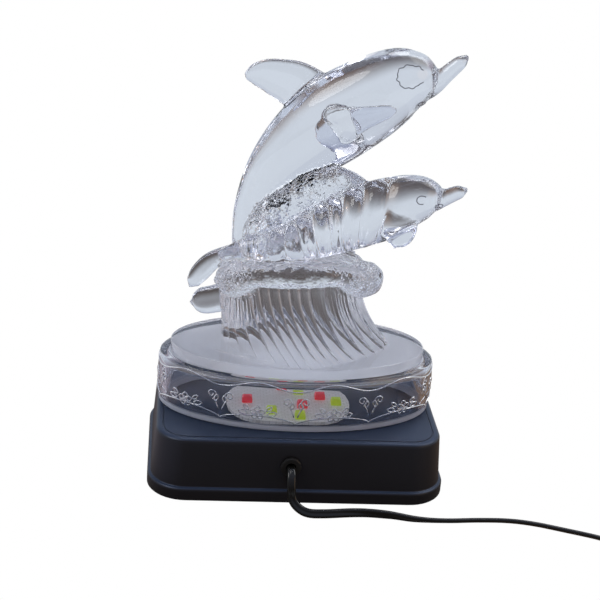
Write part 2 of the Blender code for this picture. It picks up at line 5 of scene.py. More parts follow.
import bmesh
import bpy
import numpy as np
from mathutils import Matrix, Quaternion, Vector, noise


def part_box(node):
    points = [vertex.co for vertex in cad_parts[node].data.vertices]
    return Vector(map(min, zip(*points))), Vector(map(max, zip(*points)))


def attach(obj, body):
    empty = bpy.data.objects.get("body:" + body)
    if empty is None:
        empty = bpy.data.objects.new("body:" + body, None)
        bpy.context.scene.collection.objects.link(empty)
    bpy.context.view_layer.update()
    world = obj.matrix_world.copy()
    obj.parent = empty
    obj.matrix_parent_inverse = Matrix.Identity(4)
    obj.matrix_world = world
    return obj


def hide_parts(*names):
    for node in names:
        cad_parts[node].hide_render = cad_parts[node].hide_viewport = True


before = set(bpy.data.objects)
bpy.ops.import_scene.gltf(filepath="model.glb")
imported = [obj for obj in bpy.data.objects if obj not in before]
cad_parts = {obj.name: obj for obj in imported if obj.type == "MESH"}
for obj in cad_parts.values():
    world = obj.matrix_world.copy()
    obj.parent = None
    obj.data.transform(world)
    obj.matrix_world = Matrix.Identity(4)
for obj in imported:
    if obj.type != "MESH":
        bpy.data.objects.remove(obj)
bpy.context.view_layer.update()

MM = 0.001
GAP = 0.3 * MM

# Camera: from a little left of the middle and about 23 degrees above, a long lens, tipped a little
CAMERA_PLACE = Vector((-66.5, -618.4, 351.3)) * MM
CAMERA_LOOK = Vector((-1.4, 0, 85.6)) * MM
CAMERA_ROLL = math.radians(4.43)
CAMERA_LENS = 83.9

# Drum and base, as in the solids
DRUM_X = -0.8 * MM
DRUM_LENGTH, DRUM_DEPTH, DRUM_HEIGHT = 134 * MM, 68 * MM, 32.2 * MM
DRUM_WALL = 4 * MM
DRUM_BULGE = 0.9 * MM
DRUM_FOOT_RADIUS = 1.2 * MM
CEILING_FILLET = 1.2 * MM
CEILING_THICKNESS = 7.4 * MM
PLATE_INSET_ENDS, PLATE_INSET_FRONT = 5 * MM, 1.6 * MM
PLATE_STEP = 4.9 * MM
PLATE_EDGE_RADIUS = 0.6 * MM
SHOULDER_HEIGHT = 1.6 * MM
BASE_LENGTH, BASE_DEPTH, BASE_HEIGHT = 137.2 * MM, 86 * MM, 31 * MM
BASE_CORNER_RADIUS = 15 * MM
BASE_EDGE_RADIUS = 2 * MM
BASE_DRAFT = 1.7 * MM
BASE_WALL = 2.5 * MM
FLANGE_REACH, FLANGE_HEIGHT, FLANGE_RADIUS = 1.7 * MM, 6.5 * MM, 1.5 * MM
FLANGE_FILLET, FOOT_RADIUS = 0.6 * MM, 0.5 * MM
TOP_GROOVE_INSET = 1.2 * MM  # from the end of the top edge's rounding
TOP_GROOVE = ((0, 0), (0.2 * MM, 0.3 * MM), (0.5 * MM, 0.3 * MM), (0.7 * MM, 0))  # inwards and down
BUSHING_RADIUS = 4.2 * MM
DRUM_FOOT_Z = BASE_HEIGHT + GAP
PLATE_Z = DRUM_FOOT_Z + DRUM_HEIGHT

# The figure's drawing, 147 units high, and where it stands, with its heads a little forward
FIGURE_HEIGHT = 145 * MM
UNIT = FIGURE_HEIGHT / 147
FIGURE_PLACE = (-1.1 * MM, 0, PLATE_Z - 1.2 * MM)
FIGURE_TURN = math.radians(-4.7)
FIGURE_LEAN = math.radians(-3.0)
FIGURE_FRAME = (
    Matrix.Translation(FIGURE_PLACE)
    @ Matrix.Rotation(FIGURE_TURN, 4, "Z")
    @ Matrix.Rotation(FIGURE_LEAN, 4, "Y")
    @ Matrix.Scale(UNIT, 4)
)

# Spines of the dolphins and their fins: x, y, z, half height and half depth
UPPER_BODY = [
    (-25.0, 8.0, 29.0, 4.6, 4.4),
    (-26.8, 9.0, 46.0, 5.9, 5.2),
    (-23.5, 9.5, 64.5, 9.0, 7.6),
    (-14.4, 10.0, 82.3, 13.7, 11.2),
    (-2.0, 10.0, 97.2, 18.0, 14.4),
    (13.9, 10.0, 111.0, 21.0, 16.4),
    (30.0, 9.5, 121.8, 20.2, 16.0),
    (44.5, 9.0, 130.6, 17.0, 13.6),
    (55.0, 9.0, 133.8, 12.4, 10.6),
    (61.0, 9.0, 134.8, 6.6, 6.0),
    (63.4, 9.0, 135.2, 1.6, 1.6),
]
UPPER_BEAK = [
    (54.0, 9.0, 126.5, 5.6, 5.6),
    (60.5, 9.0, 130.2, 5.2, 5.2),
    (66.5, 9.0, 135.1, 4.0, 4.2),
    (70.6, 9.0, 138.9, 3.6, 3.6),
    (73.6, 9.0, 141.5, 3.1, 3.0),
    (75.6, 9.0, 143.3, 1.5, 1.5),
]
LOWER_BODY = [
    (-34.0, -9.0, 51.0, 3.2, 3.4),
    (-24.0, -10.0, 53.9, 6.0, 5.2),
    (-13.5, -11.0, 55.2, 7.8, 7.0),
    (-2.0, -12.0, 58.6, 9.8, 8.8),
    (10.0, -12.0, 63.6, 12.4, 10.4),
    (23.0, -12.0, 69.4, 14.3, 11.6),
    (36.0, -12.0, 74.6, 14.9, 11.8),
    (48.0, -12.0, 79.4, 13.2, 10.6),
    (58.0, -12.0, 82.4, 10.2, 8.6),
    (64.2, -12.0, 83.6, 5.8, 5.2),
    (67.0, -12.0, 84.0, 1.6, 1.6),
]
LOWER_BEAK = [
    (56.0, -12.0, 78.4, 5.4, 5.4),
    (62.0, -12.0, 80.0, 4.8, 4.8),
    (68.0, -12.0, 82.4, 3.9, 4.0),
    (71.6, -12.0, 84.0, 3.5, 3.4),
    (74.6, -12.0, 85.2, 3.1, 3.0),
    (76.6, -12.0, 86.0, 1.5, 1.5),
]
UPPER_DORSAL = [
    (4.0, 10.0, 124.0, 12.5, 3.2),
    (-3.0, 10.0, 128.6, 11.6, 2.6),
    (-10.4, 10.0, 131.4, 10.0, 2.2),
    (-17.0, 10.0, 133.0, 8.0, 1.8),
    (-22.5, 10.0, 133.0, 5.6, 1.5),
    (-25.8, 10.0, 132.4, 2.6, 1.2),
]
LOWER_DORSAL = [
    (28.0, -11.0, 80.0, 9.0, 3.0),
    (24.0, -10.5, 86.0, 7.2, 2.4),
    (20.0, -10.0, 91.0, 4.6, 1.8),
    (17.4, -10.0, 94.4, 1.4, 0.9),
]
UPPER_FLIPPER = [
    (14.0, -2.5, 111.5, 8.4, 4.0),
    (20.0, -8.0, 115.5, 8.6, 3.4),
    (27.0, -11.0, 118.8, 6.2, 3.0),
    (34.0, -12.4, 121.2, 4.4, 2.6),
    (39.5, -12.6, 122.9, 3.3, 2.0),
    (42.2, -12.4, 123.4, 1.8, 1.2),
]
UPPER_FAR_FLIPPER = [
    (26.0, 20.0, 113.0, 5.5, 2.4),
    (22.0, 25.0, 110.0, 5.6, 2.2),
    (17.0, 29.0, 106.0, 4.6, 1.9),
    (12.0, 31.5, 102.0, 3.2, 1.5),
    (9.5, 32.5, 100.0, 1.4, 0.9),
]
LOWER_FLIPPER = [
    (49.5, -14.0, 78.0, 6.0, 3.0),
    (47.8, -19.0, 72.0, 7.6, 2.8),
    (46.0, -22.0, 67.0, 7.4, 2.5),
    (44.6, -23.6, 63.2, 4.8, 2.0),
    (44.0, -24.2, 61.6, 1.4, 0.9),
]
UPPER_FLUKE = [
    (-27.0, -9.0, 53.0, 3.8, 4.2),
    (-35.0, -6.5, 49.6, 3.8, 4.4),
    (-42.0, -4.0, 44.8, 4.6, 4.6),
    (-47.4, -2.5, 38.6, 4.8, 4.2),
    (-51.0, -2.0, 33.4, 3.6, 3.2),
    (-52.6, -2.0, 30.9, 1.2, 1.2),
]
LOWER_FLUKE = [
    (-33.0, -4.0, 27.0, 7.4, 5.0),
    (-41.0, -3.0, 24.6, 7.2, 4.2),
    (-47.0, -2.5, 23.2, 6.8, 3.4),
    (-50.6, -2.5, 22.6, 4.4, 2.4),
    (-51.8, -2.5, 22.4, 1.6, 1.2),
]

# Grooves on the lower dolphin's flanks: place along its spine, half width, depth and slant
LOWER_FOLDS = [
    (20.0, 2.0, 1.5, 2),
    (28.0, 2.6, 1.8, 2),
    (36.0, 1.2, 1.9, 1),
    (43.0, 2.6, 2.3, 2),
    (51.0, 1.3, 1.9, 4),
    (57.0, 2.7, 2.2, 5),
    (66.0, 2.2, 1.9, 7),
    (77.0, 3.2, 1.5, 9),
]
FLANK_REACH = 1.12  # of its half height: skin further than this from its spine belongs to other forms

# Foam: rolls of lumps, with the radius up and across
FRONT_CREST = [
    (-38.4, -9.6, 37.4, 2.4, 2.4),
    (-35.6, -11.0, 38.4, 6.8, 6.6),
    (-30.6, -13.4, 39.6, 9.0, 8.2),
    (-25.2, -16.4, 41.6, 7.6, 6.8),
    (-21.0, -18.6, 43.4, 5.8, 5.4),
    (-10.0, -21.0, 44.6, 6.0, 5.4),
    (3.0, -21.6, 45.2, 6.2, 5.6),
    (14.0, -19.2, 44.8, 5.8, 5.4),
    (20.6, -15.4, 42.6, 5.6, 5.4),
    (25.0, -11.4, 40.0, 7.4, 7.0),
    (30.4, -6.6, 38.0, 9.2, 8.4),
    (36.0, -2.2, 37.0, 7.4, 7.2),
    (39.4, 0.6, 36.4, 2.2, 2.2),
]
BACK_CREST = [
    (-34.0, 9.0, 38.0, 3.0, 3.0),
    (-27.0, 14.0, 41.0, 7.0, 6.4),
    (-10.0, 19.0, 45.0, 7.0, 6.4),
    (8.0, 18.5, 46.0, 7.0, 6.4),
    (20.0, 14.0, 41.0, 6.4, 6.4),
    (28.0, 6.0, 37.0, 6.0, 6.4),
    (31.0, 2.0, 36.0, 3.0, 3.0),
]
FOAM_BAND = [
    (-22.6, -2.0, 54.0, 4.6, 6.0),
    (-20.6, -3.0, 60.6, 6.4, 7.4),
    (-15.0, -3.4, 67.4, 7.8, 8.0),
    (-6.0, -3.2, 73.6, 8.6, 8.2),
    (3.0, -3.0, 79.2, 8.8, 8.0),
    (12.0, -3.0, 83.6, 8.6, 7.4),
    (20.0, -3.4, 86.4, 6.8, 6.2),
    (24.6, -3.8, 87.2, 2.4, 2.6),
]
LUMP_DEPTH = 0.13  # as a share of the roll's radius
LUMPS_ROUND = 4
LUMP_PITCH = 9.6
BUBBLE_SIZE = 3.4  # units of the drawing, so about millimetres
BUBBLE_HEIGHT = 0.7

# The wave's lines: x and y at the crest, x and y at the foot, and the ribs from each line to the next
WAVE = [
    (-38.0, 3.0, -37.5, 0.0, 3),
    (-32.0, -12.0, -27.0, -18.0, 2),
    (-23.0, -19.0, -8.0, -28.5, 3),
    (-9.0, -22.5, 8.0, -32.0, 3),
    (5.0, -23.0, 22.0, -24.0, 2),
    (18.0, -19.0, 34.0, -14.0, 3),
    (29.0, -4.0, 45.0, 3.0, 3),
    (24.0, 12.0, 36.0, 20.0, 3),
    (3.0, 19.0, 6.0, 27.0, 3),
    (-22.0, 16.0, -26.0, 21.0, 3),
]
WAVE_HEIGHT = 47.0
WAVE_FOOT_ROW = -0.07  # as a share of its height, so that it is rooted in the plate
WAVE_SWEEP = 2.4
FLUTE_DEPTH = 2.0
FLUTE_ROUNDNESS = 2.6
FRONT_LINES = range(1, 7)
BACK_FLUTES = 0.3  # how deep the ribs behind are, against those in front
RIB_POINTS = 12
WAVE_ROWS = 56

# Marks on the heads: x and z of the middle, half width and height, waviness, start and turn in degrees
HEAD_MARKS = [
    (49.6, 136.6, 6.6, 5.0, 0.09, 30, 300),
    (55.6, 122.8, 1.9, 1.1, 0.0, 0, 352),
    (64.4, 79.4, 1.9, 1.0, 0.04, 0, 352),
    (56.0, 83.6, 2.4, 1.9, 0.04, 40, 250),
]
MARK_WIRE = 0.22 * MM
EIGHTHS = np.arange(8) * math.tau / 8

# Skin over the dolphins and the foam, and how far its hollow creases are filled
VOXEL = 0.8 * MM
CREASE_PASSES = 24
EVENING_PASSES = 3

# Cord: a flat twin flex, its route on the table and its coil, as in the solids
CORD_WIDTH = 4.3 * MM
CORD_THICKNESS = 2.3 * MM
CORD_X, CORD_HEIGHT = -4.2 * MM, 18.8 * MM
# From the wall: forward in widths of the cord, the share of the fall, and to the right in widths
CORD_DROP = [
    (-0.47, 0.0, 0.0),
    (0.47, 0.0, 0.0),
    (1.4, 0.1, 0.0),
    (2.1, 0.4, 0.02),
    (2.47, 0.7, 0.16),
    (2.98, 0.9, 0.8),
]
CORD_ON_TABLE = [
    (4, -58.6),
    (12, -59),
    (28, -57.2),
    (42, -58.6),
    (55, -61.6),
    (70, -62),
    (85, -61),
    (99, -61),
    (111, -63.2),
    (125, -68.2),
    (140, -74.2),
    (150, -80.5),
]
COIL_CENTRE = (189 * MM, -68 * MM)
COIL_MEAN_RADIUS = 24 * MM
COIL_HALF_WIDTH = 10.75 * MM
COIL_FLOOR = 1.0 * MM  # on the tie that goes round under it
FLATTENS_AT, FLATTENS_OVER = 42 * MM, 55 * MM  # along the flex, where it turns from upright to flat
COIL_TWIST = math.radians(32)  # how much it twists further into the coil
PLUG_PLACE = (217 * MM, -18 * MM)
PLUG_LENGTH, PLUG_WIDTH, PLUG_THICKNESS = 30 * MM, 25 * MM, 13 * MM
PIN_RADIUS, PIN_LENGTH, PIN_SPACING = 2 * MM, 19 * MM, 18.6 * MM
FLEX_PITCH = 1.3 * MM

# Relief round the drum: nine repeats of a wavy line, a scalloped line, a flower and two scrolls
RELIEF_REPEATS = 9
RELIEF_TURN = -2.0 * MM  # along the wall, from the front's middle
RELIEF_WIRE = 0.34 * MM
# Heights on the drum and rises in millimetres, as the flat drawing of one repeat has them
SCALLOP_HEIGHT, SCALLOP_RISE = 35.6, 3.9
WAVY_HEIGHT, WAVY_RISE = 54.6, 1.8
FLOWER_HEIGHT = 41.0
PETALS = 5


# Colours and materials


def linear(hex_colour):
    """The linear colour of an sRGB hex value."""
    parts = [int(hex_colour[i : i + 2], 16) / 255 for i in (1, 3, 5)]
    return tuple(p / 12.92 if p <= 0.04045 else ((p + 0.055) / 1.055) ** 2.4 for p in parts) + (1.0,)


def feed(node, **links):
    """Each link names an input of the node, or its number, and gives a value or a socket."""
    for name, value in links.items():
        socket = node.inputs[int(name[1:]) if name[1:].isdigit() else name.replace("_", " ")]
        if isinstance(value, bpy.types.NodeSocket):
            node.id_data.links.new(value, socket)
        else:
            socket.default_value = value


def add_node(tree, kind, settings=None, **links):
    node = tree.nodes.new(kind)
    for name, value in (settings or {}).items():
        setattr(node, name, value)
    feed(node, **links)
    return node


def maths(tree, operation, *values, vector=False):
    """The outputs of a Math or Vector Math node, with its inputs given in order."""
    kind = "ShaderNodeVectorMath" if vector else "ShaderNodeMath"
    node = add_node(tree, kind, {"operation": operation})
    feed(node, **{f"_{k}": value for k, value in enumerate(values)})
    return node.outputs


def finish_of(name, colour, roughness, **sockets):
    """A material with its Principled shader, whose other sockets are set by name."""
    made = bpy.data.materials.new(name)
    made.use_nodes = True
    shader = made.node_tree.nodes["Principled BSDF"]
    feed(shader, Base_Color=linear(colour), Roughness=roughness, **sockets)
    return made, made.node_tree, shader


def object_point(tree):
    return add_node(tree, "ShaderNodeTexCoord").outputs["Object"]


def cells(width):
    """The scale of a pattern on Object coordinates whose cells are this many millimetres wide."""
    return 1 / (width * MM)


def uneven(tree, shader, texture, strength, rise):
    """Lets a texture raise the skin by this many millimetres."""
    fac = texture.outputs["Fac"]
    bump = add_node(tree, "ShaderNodeBump", Strength=strength, Distance=rise * MM, Height=fac)
    feed(shader, Normal=bump.outputs["Normal"])


def clear_acrylic():
    """Cast acrylic: clear with a breath of lavender, slow ripples from the mould and froth on the foam."""
    made, tree, shader = finish_of("Clear cast acrylic", "#ECEEF6", 0.01, Transmission_Weight=1.0, IOR=1.49)
    place = object_point(tree)
    ripple = add_node(
        tree, "ShaderNodeTexNoise", Vector=place, Scale=cells(16.667), Detail=1.0, Roughness=0.4
    )
    bump = add_node(tree, "ShaderNodeBump", Strength=0.3, Distance=0.6 * MM, Height=ripple.outputs["Fac"])
    froth = add_node(tree, "ShaderNodeAttribute", {"attribute_name": "froth"})
    bubble = add_node(tree, "ShaderNodeTexVoronoi", {"feature": "F1"}, Vector=place, Scale=cells(1.6129))
    height = maths(tree, "MULTIPLY", bubble.outputs["Distance"], froth.outputs["Fac"])[0]
    bubbled = add_node(
        tree,
        "ShaderNodeBump",
        {"invert": True},
        Strength=0.8,
        Distance=0.6 * MM,
        Height=height,
        Normal=bump.outputs["Normal"],
    )
    feed(shader, Normal=bubbled.outputs["Normal"])
    return made


def frosted_acrylic():
    """The hollow's ceiling, left rough by its mould: milky, so that the plate above it reads pale."""
    return finish_of("Frosted cast acrylic", "#F8FAFE", 0.35, Transmission_Weight=0.22, IOR=1.49)[0]


def bonded_acrylic():
    """The drum's foot, where it is bonded to the housing: a dull grey line round it."""
    return finish_of("Bonded acrylic foot", "#D4D8E4", 0.5, Transmission_Weight=0.4, IOR=1.49)[0]


def raised_line():
    """The thin lines on the heads: clear as the rest, but tinted dark grey as painted shade, for the dark that
    their sides make by bending the light away.
    """
    # The grey base colour is painted shade.
    return finish_of("Clear cast acrylic, raised line, painted shade", "#6E6C76", 0.1, Transmission_Weight=1.0, IOR=1.49)[0]


def black_abs():
    """Injection-moulded ABS: satin black, with a painted blue-black reflection of the sky on top, and the
    faint unevenness of a moulded skin.
    """
    # top is a painted reflection: the sky's blue-black, mixed into the colour of faces that look up
    side, top = "#1D1A19", "#242F42"
    made, tree, shader = finish_of("Black moulded ABS", side, 0.3, Specular_IOR_Level=0.55)
    feed(shader, Specular_Tint=linear("#C4D2F2"))
    place = object_point(tree)
    normal = add_node(tree, "ShaderNodeNewGeometry").outputs["Normal"]
    level = add_node(tree, "ShaderNodeSeparateXYZ", Vector=normal).outputs["Z"]
    painted_sky_share = add_node(tree, "ShaderNodeMapRange", Value=level, From_Min=0.5, From_Max=0.95)
    shade = add_node(tree, "ShaderNodeMixRGB", _0=painted_sky_share.outputs[0], _1=linear(side), _2=linear(top))
    grain = add_node(tree, "ShaderNodeTexNoise", Vector=place, Scale=cells(1.111), Detail=3.0)
    uneven(tree, shader, grain, 0.12, 0.1)
    cloud = add_node(tree, "ShaderNodeTexNoise", Vector=place, Scale=cells(22.22), Detail=4.0)
    wear = add_node(tree, "ShaderNodeMapRange", Value=cloud.outputs["Fac"], To_Min=0.3, To_Max=0.42)
    feed(shader, Base_Color=shade.outputs[0], Roughness=wear.outputs["Result"])
    return made


def white_board():
    """White solder mask over glass fibre, uneven over the tracks; a slight glow keeps it light in the drum."""
    made, tree, shader = finish_of("White solder mask", "#F0EEEC", 0.35, Emission_Strength=0.12)
    place = object_point(tree)
    tracks = add_node(tree, "ShaderNodeTexBrick", Vector=place, Scale=cells(6.25), Mortar_Size=0.03)
    feed(tracks, Color1=linear("#F2F0EE"), Color2=linear("#E8E6E2"), Mortar=linear("#CFCDC8"))
    feed(shader, Base_Color=tracks.outputs["Color"], Emission_Color=linear("#F0EEEC"))
    return made


def led_lens(name, colour):
    """Tinted lens of an LED that is off; a slight glow lets its colour show through the acrylic."""
    made, tree, shader = finish_of(name, colour, 0.18, Emission_Strength=0.25)
    cloud = add_node(tree, "ShaderNodeTexNoise", Vector=object_point(tree), Scale=cells(2.0))
    cloudy = cloud.outputs["Color"]
    tint = add_node(
        tree, "ShaderNodeMixRGB", {"blend_type": "MULTIPLY"}, _0=0.2, _1=linear(colour), _2=cloudy
    )
    feed(shader, Base_Color=tint.outputs["Color"], Emission_Color=linear(colour))
    return made


def soft_rubber():
    """Moulded rubber: matt black with a fine grain."""
    made, tree, shader = finish_of("Black moulded rubber", "#101010", 0.4)
    grain = add_node(tree, "ShaderNodeTexNoise", Vector=object_point(tree), Scale=cells(0.6667), Detail=2.0)
    uneven(tree, shader, grain, 0.3, 0.1)
    return made


def pvc_flex():
    """Extruded PVC sheath: glossy black with long soft unevenness."""
    made, tree, shader = finish_of("Black PVC sheath", "#0C0C0B", 0.2)
    cloud = add_node(tree, "ShaderNodeTexNoise", Vector=object_point(tree), Scale=cells(4.5455), Detail=2.0)
    uneven(tree, shader, cloud, 0.25, 0.3)
    return made


def nickel_plate():
    """Nickel plate on a turned brass pin: bright grey with fine turning lines across it."""
    made, tree, shader = finish_of("Nickel-plated brass", "#D9D6CE", 0.22, Metallic=1.0)
    lines = add_node(tree, "ShaderNodeTexWave", Vector=object_point(tree), Scale=cells(0.6667))
    uneven(tree, shader, lines, 0.15, 0.05)
    return made


# Shapes


def between(before, start, end, after, t):
    """Points of the smooth curve from start to end, at shares t of the way."""
    before, start, end, after = (np.array(p, float) for p in (before, start, end, after))
    t = np.asarray(t, float)[..., None]
    return (
        before * (-t + 2 * t**2 - t**3) / 2
        + start * (2 - 5 * t**2 + 3 * t**3) / 2
        + end * (t + 4 * t**2 - 3 * t**3) / 2
        + after * (-(t**2) + t**3) / 2
    )


def smooth_line(points, steps):
    """An open smooth curve through the points, with this many steps from each one to the next."""
    last = len(points) - 1
    shares = np.arange(steps) / steps
    runs = []
    for i in range(last):
        before, after = points[max(i - 1, 0)], points[min(i + 2, last)]
        runs.append(between(before, points[i], points[i + 1], after, shares))
    return np.vstack([*runs, [points[-1]]])


def run_along(line):
    """How far along the line each of its points lies."""
    return np.concatenate([[0], np.cumsum(np.linalg.norm(np.diff(line[:, :3], axis=0), axis=1))])


def even_line(points, pitch):
    """The smooth curve through the points, with a point about every pitch along it."""
    fine = smooth_line(points, 40)
    run = run_along(fine)
    places = np.linspace(0, run[-1], max(int(round(run[-1] / pitch)), 4) + 1)
    return np.stack([np.interp(places, run, fine[:, k]) for k in range(fine.shape[1])], axis=1)


def in_scene(name, data):
    """A new object of the scene."""
    made = bpy.data.objects.new(name, data)
    bpy.context.scene.collection.objects.link(made)
    return made


def skin(name, rings, joined=False):
    """A closed mesh from rows of rings: quads between them, and the two ends closed or joined together."""
    rings = np.asarray(rings, float)
    rows, sides = rings.shape[:2]
    grid = np.arange(rows * sides).reshape(rows, sides)
    following = np.roll(grid, -1, axis=0) if joined else grid[1:]
    lower = grid if joined else grid[:-1]
    quads = np.stack([lower, np.roll(lower, -1, axis=1), np.roll(following, -1, axis=1), following], axis=-1)
    faces = quads.reshape(-1, 4).tolist()
    if not joined:
        faces += [grid[0][::-1].tolist(), grid[-1].tolist()]
    mesh = bpy.data.meshes.new(name)
    mesh.from_pydata(rings.reshape(-1, 3).tolist(), [], faces)
    bm = bmesh.new()
    bm.from_mesh(mesh)
    bmesh.ops.recalc_face_normals(bm, faces=bm.faces)
    bm.to_mesh(mesh)
    bm.free()
    mesh.shade_smooth()
    return in_scene(name, mesh)


def unit(vectors):
    """The same directions, one long."""
    return vectors / np.maximum(np.linalg.norm(vectors, axis=-1, keepdims=True), 1e-12)


def moved(points, matrix):
    """The points, taken through a matrix."""
    matrix = np.array(matrix)
    return points @ matrix[:3, :3].T + matrix[:3, 3]


def round_end(line, ahead, at_start):
    """Rows of stations that close an end with a dome."""
    station, direction = (line[0], -ahead[0]) if at_start else (line[-1], ahead[-1])
    rows = []
    for angle in map(math.radians, (25, 50, 70, 84)):
        row = station.copy()
        row[:3] += direction * station[3:5].min() * math.sin(angle)
        row[3:5] *= math.cos(angle)
        rows.append(row)
    return np.array(rows[::-1] if at_start else rows)


def limb(name, stations, sides, pitch=1.1, lumps=0.0, froth=None, mouth=0.0, dished=0.0):
    """A tapering body with round ends along stations of x, y, z, half height and half depth."""
    line = even_line(stations, pitch)
    ahead = unit(np.gradient(line[:, :3], axis=0))
    start, end = round_end(line, ahead, True), round_end(line, ahead, False)
    run = run_along(line)
    run = np.concatenate([np.zeros(len(start)), run, np.full(len(end), run[-1])])
    first, last = np.repeat(ahead[:1], len(start), axis=0), np.repeat(ahead[-1:], len(end), axis=0)
    ahead = np.vstack([first, ahead, last])
    line = np.vstack([start, line, end])
    up = unit(np.stack([-ahead[:, 2], np.zeros(len(ahead)), ahead[:, 0]], axis=1))
    across = np.cross(ahead, up)
    angle = np.arange(sides) * math.tau / sides
    phase = (math.tau * run / LUMP_PITCH)[:, None]
    swell = 1 + lumps * np.cos(LUMPS_ROUND * angle + phase / 2) * np.cos(phase)
    if mouth:
        swell -= mouth * np.exp(-(((np.abs(np.sin(angle)) - 1) / 0.012) ** 2))
    thin = 1 - dished * np.abs(np.sin(angle)) ** 3
    height = (line[:, 3:4] * np.cos(angle) * swell)[..., None] * up[:, None]
    depth = (line[:, 4:5] * np.sin(angle) * thin * swell)[..., None] * across[:, None]
    points = line[:, None, :3] + height + depth
    if froth:
        share = np.interp(line[:, 0], *froth)[:, None]
        points += unit(height + depth) * (bubbles(points) * share)[..., None]
    return skin(name, moved(points, FIGURE_FRAME))


def bubbles(points):
    """How far the foam's bubbles stand out: round cells, close together as in froth."""
    heights = [noise.voronoi(Vector(point) / BUBBLE_SIZE)[0][0] for point in points.reshape(-1, 3)]
    dome = np.sqrt(np.clip(1 - (np.array(heights) / 0.75) ** 2, 0, 1))
    return BUBBLE_HEIGHT * (dome.reshape(points.shape[:2]) - 0.55)


def wave():
    """The wave's body: sharp ribs with round flutes between them, which sweep out to the foot."""
    table = np.array([line[:4] for line in WAVE])
    count = len(WAVE)
    shares = np.arange(RIB_POINTS) / RIB_POINTS
    hollow = FLUTE_DEPTH * (1 - np.abs(2 * shares - 1) ** FLUTE_ROUNDNESS)
    rings = []
    for row in np.linspace(WAVE_FOOT_ROW, 1, WAVE_ROWS):
        sweep = (1 - max(row, 0)) ** WAVE_SWEEP
        handles = table[:, :2] + (table[:, 2:] - table[:, :2]) * sweep
        line, depth = [], []
        for i, (*_, ribs) in enumerate(WAVE):
            corners = [handles[(i + k) % count] for k in (-1, 0, 1, 2)]
            line.append(between(*corners, np.arange(ribs * RIB_POINTS) / (ribs * RIB_POINTS)))
            depth.append(np.tile(hollow, ribs) * (1.0 if i in FRONT_LINES else BACK_FLUTES))
        line, depth = np.vstack(line), np.concatenate(depth)
        along = unit(np.roll(line, -1, axis=0) - np.roll(line, 1, axis=0))
        line += np.stack([-along[:, 1], along[:, 0]], axis=1) * depth[:, None]
        rings.append(np.column_stack([line, np.full(len(line), row * WAVE_HEIGHT)]))
    middle = rings[-1].mean(axis=0)
    crest = rings[-1]
    for share, rise in ((0.8, 2.0), (0.5, 3.0)):
        rings.append(middle + (crest - middle) * share + (0, 0, rise))
    return skin("wave", moved(np.array(rings), FIGURE_FRAME))


def oval(z, inset=0.0, step_in=0.0, sides=160):
    """The drum's outline, moved in by an inset, and by this share of the plate's own insets."""
    angles = np.arange(sides) * math.tau / sides
    half_length = DRUM_LENGTH / 2 - inset - PLATE_INSET_ENDS * step_in
    half_depth = DRUM_DEPTH / 2 - inset - PLATE_INSET_FRONT * step_in
    x, y = DRUM_X + half_length * np.cos(angles), half_depth * np.sin(angles)
    return np.stack([x, y, np.full(sides, z)], axis=1)


def quarter(steps):
    """Sines and cosines of a quarter turn."""
    return [(math.sin(a), math.cos(a)) for a in np.linspace(0, math.pi / 2, steps + 1)]


def drum_side(share):
    """How far the drum's side stands out at a share of its height."""
    return DRUM_BULGE * math.sin(math.pi * share)


def drum():
    """The hollow oval drum and its raised plate; a ring close to each corner keeps its edge crisp."""
    ledge = PLATE_Z - PLATE_STEP
    side_top = ledge - SHOULDER_HEIGHT
    side_foot = DRUM_FOOT_Z + DRUM_FOOT_RADIUS
    ceiling = PLATE_Z - CEILING_THICKNESS
    hollow_top = ceiling - CEILING_FILLET
    near = 0.2 * MM
    rings = [oval(ceiling, DRUM_WALL + CEILING_FILLET + near)]
    for s, c in quarter(6):
        rings.append(oval(ceiling - CEILING_FILLET * (1 - c), DRUM_WALL + CEILING_FILLET * (1 - s)))
    for t in np.linspace(0, 1, 10):
        z = hollow_top + (DRUM_FOOT_Z + near - hollow_top) * t
        share = np.clip((z - side_foot) / (side_top - side_foot), 0, 1)
        rings.append(oval(z - near * (t == 0), DRUM_WALL - drum_side(share)))
    rings += [oval(DRUM_FOOT_Z, inset) for inset in (DRUM_WALL, DRUM_WALL - near, DRUM_FOOT_RADIUS + near)]
    rings += [oval(side_foot - DRUM_FOOT_RADIUS * c, DRUM_FOOT_RADIUS * (1 - s)) for s, c in quarter(5)]
    rings += [oval(side_foot + (side_top - side_foot) * t, -drum_side(t)) for t in np.linspace(0, 1, 13)[1:]]
    rings += [oval(side_top + SHOULDER_HEIGHT * s, step_in=1 - c) for s, c in quarter(8)[1:]]
    edge = PLATE_Z - PLATE_EDGE_RADIUS
    rings += [oval(z, step_in=1) for z in (ledge + near, (ledge + edge) / 2, edge - near)]
    rings += [oval(edge + PLATE_EDGE_RADIUS * s, PLATE_EDGE_RADIUS * (1 - c), 1) for s, c in quarter(5)]
    rings.append(oval(PLATE_Z, PLATE_EDGE_RADIUS + near, 1))
    return skin("dolphin_casting", rings)


# One LED chip's outline from its foot up: the share of its height, and how far it stands in
CHIP_RINGS = (
    (0, 0.1 * MM),
    (0.04, 0),
    (0.4, 0),
    (0.44, 0.15 * MM),
    (0.72, 0.15 * MM),
    (0.84, 0.35 * MM),
    (0.94, 0.8 * MM),
    (1, 1.5 * MM),
)


def led_chip(name):
    """A bevelled LED chip with a shallow domed lens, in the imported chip's box."""
    low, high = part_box(name)
    x, y = (low.x + high.x) / 2, (low.y + high.y) / 2
    half = (high.x - low.x) / 2
    rings = []
    for height, inset in CHIP_RINGS:
        line = rounded_rectangle(half - inset, half - inset, 0.5 * MM, 0, 4)
        rings.append([(x + a, y + b, low.z + (high.z - low.z) * height) for a, b, _ in line])
    return skin(name + "_chip", rings)


def far_side(stations, middle):
    """The same fin on the body's other side."""
    return [(x, 2 * middle - y, z, chord, thickness) for x, y, z, chord, thickness in stations]


